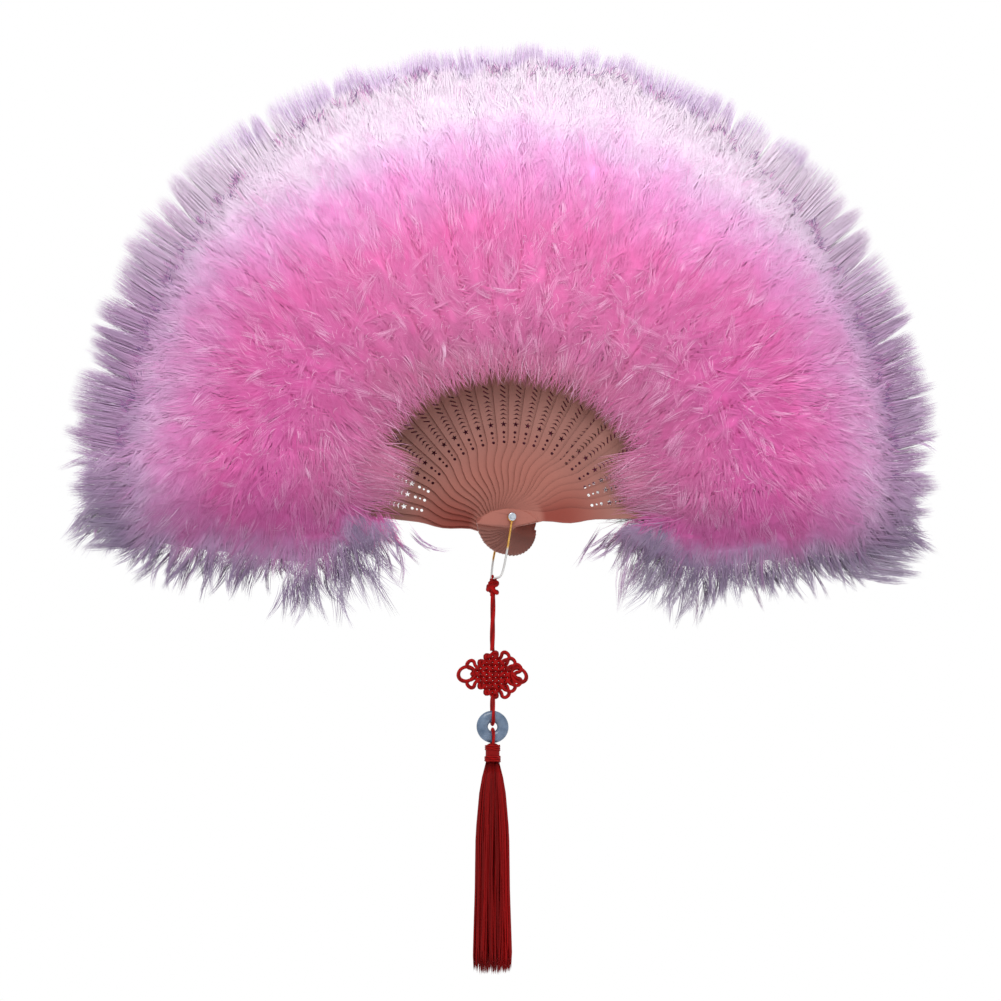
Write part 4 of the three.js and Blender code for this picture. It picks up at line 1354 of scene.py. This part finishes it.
def guard_core(hand):
    """The core of a guard's plume, which ends well above the lobe's ragged edge."""
    share = np.linspace(0, 1, 11)
    sections = []
    for x in np.concatenate([np.linspace(66, 82, 6), np.linspace(85, 188, 30)]) * mm:
        top = float(roof(hand * x)) if x > 84 * mm else guard_rise * x - guard_half_width - 1.2 * mm
        low = 0.52 * float(lowest(hand * x)) * min((x - 62 * mm) / (30 * mm), 1)
        z = top - (top + low) * share
        reach, angle = guard_places(np.full(11, x), z, hand)
        ends = np.clip(min((x - 65 * mm) / (14 * mm), (192 * mm - x) / (14 * mm)), 0, 1) ** 0.5
        front, back = (side * guard_under_fuzz * ends * surface_depth(reach, angle, side) for side in (-1, 1))
        sections.append(np.vstack([at(reach, angle, back), at(reach[::-1], angle[::-1], front[::-1])]))
    return core(sections)


# %% [markdown]
# In a lobe the down is dense only in the upper two thirds, and wisps make the ragged edge. A solid
# lobe to the edge would look cut out of felt. At its inner end a few long wisps hang free under the
# guard. Each plume rides on its guard.

# %% Guard plumes
guard_sides = ((-1, 2600, 430), (1, 1300, 150))
guard_fringes = ((-1, 300, (55, 80), (15.2, 17), 0.5), (1, 200, (58, 80), (15.2, 17), 0.5))
edge_wisps = (
    (72, 206, 96, 0.3, 0.8, 17, 1.2), (50, 66, 6, 0.2, 0.8, 19, 0.6), (66, 82, 7, 0.4, 0.8, 26, 2.2),
    (84, 108, 8, 0.6, 0.95, 20, 1.6), (66, 84, 30, -0.15, 0.4, 13, 1.7))


def guard_plume(name, body, hand, seed, stands_for):
    """A guard's plume with its lobe. Of each row of edge_wisps the numbers say from where to where the
    wisps stand, how many they are, between which shares of the drop, how long and how widely spread."""
    rng = np.random.default_rng(seed)
    parts = [guard_core(hand)]
    for side, fine, bundles in guard_sides:
        for count in (fine, bundles):
            x = rng.uniform(62, 206, count) * mm
            low = lowest(hand * x) * 0.62 * np.clip((x - 58 * mm) / (30 * mm), 0.2, 1)
            high = np.where(x > 74 * mm, np.maximum(roof(hand * x), 2 * mm), 0)
            place = guard_places(x, high - (high + low) * rng.uniform(0, 1, count), hand)
            if count == fine:
                parts.append(fuzz(rng, *place, lie(rng, *place, 0.3), side))
            else:
                parts.append(wisps(rng, *place, lie(rng, *place, 0.2), side))
    for first_x, last_x, count, inner, outer, length, spread in edge_wisps:
        x = np.linspace(first_x, last_x, count) * mm + rng.normal(0, 1.5 * mm, count)
        place = guard_places(x, -lowest(hand * x) * rng.uniform(inner, outer, count), hand)
        for side in (-1, 1):
            parts.append(wisps(rng, *place, lie(rng, *place, 0.12), side, length * mm, each=11,
                               spread=spread * mm, lift=0.5 * mm))
    angle, edge = (stick_angles[0], edges[0]) if hand > 0 else (stick_angles[-1], edges[-1])
    parts.append(rim_barbs(rng, *sorted((edge, angle - hand * 0.2)), 1000))
    for fringe in guard_fringes:
        parts.append(inner_fringe(rng, angle - 0.07, angle + 0.07, *fringe))
    piece = together(name, *parts)
    soften(piece)
    dress(piece, down_material, body, "down", stands_for)
    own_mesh(piece)
    return piece


right_plume = guard_plume("plume_front_guard", "handle", 1, 31, "front_guard_plume")
left_plume = guard_plume("plume_back_guard", "back_stick", -1, 32, "back_guard_plume")
print("guard plumes:", len(right_plume.data.polygons), "and", len(left_plume.data.polygons), "triangles")

# %% [markdown]
# The room is a white sweep with soft light. The world lights the fan evenly, at the level at which a
# colour renders about as it is written, and one large lamp in front and above gives it its form.
# The background is white to the camera, to mirrors and through glass, whatever the light.

# %% Room and light
floor_z = -0.5
deselect()
bpy.ops.mesh.primitive_plane_add(size=8, location=(0, 0, floor_z))
floor = bpy.context.object
floor.name = "floor"
settled(floor)
floor_finish = Finish("pale_floor")
floor.data.materials.append(floor_finish.surface(Base_Color=(0.86, 0.86, 0.87, 1), Roughness=0.8))

world_light, white = 1.19, (1, 1, 1, 1)
room = Finish("soft_room", bpy.data.worlds)
scene.world = room.block
camera_ray, glossy_ray, through_ray = (
    room.node("LightPath", output=f"Is {ray} Ray") for ray in ("Camera", "Glossy", "Transmission"))
through = room.node("Math", {"operation": "MAXIMUM"}, {0: glossy_ray, 1: through_ray})
seen = room.node("Math", {"operation": "MAXIMUM"}, {0: camera_ray, 1: through})
lit = room.node("Background", {}, {"Color": white, "Strength": world_light})
shown = room.node("Background", {}, {"Color": white, "Strength": 1})
room.node("OutputWorld", {}, {"Surface": room.node("MixShader", {}, {0: seen, 1: lit, 2: shown})})


def soft_lamp(name, place, aim_at, size, power):
    """A round lamp that faces a point."""
    data = bpy.data.lights.new(name, "AREA")
    data.shape, data.size, data.energy = "DISK", size, power
    lamp = bpy.data.objects.new(name, data)
    scene.collection.objects.link(lamp)
    lamp.matrix_world = (Matrix.Translation(place)
                         @ (Vector(place) - Vector(aim_at)).to_track_quat("Z", "Y").to_matrix().to_4x4())


soft_lamp("front_top", place=(-0.3, -1.4, 1.5), aim_at=(0, 0, 0.1), size=1.1, power=13)
scene.view_settings.view_transform = "Standard"
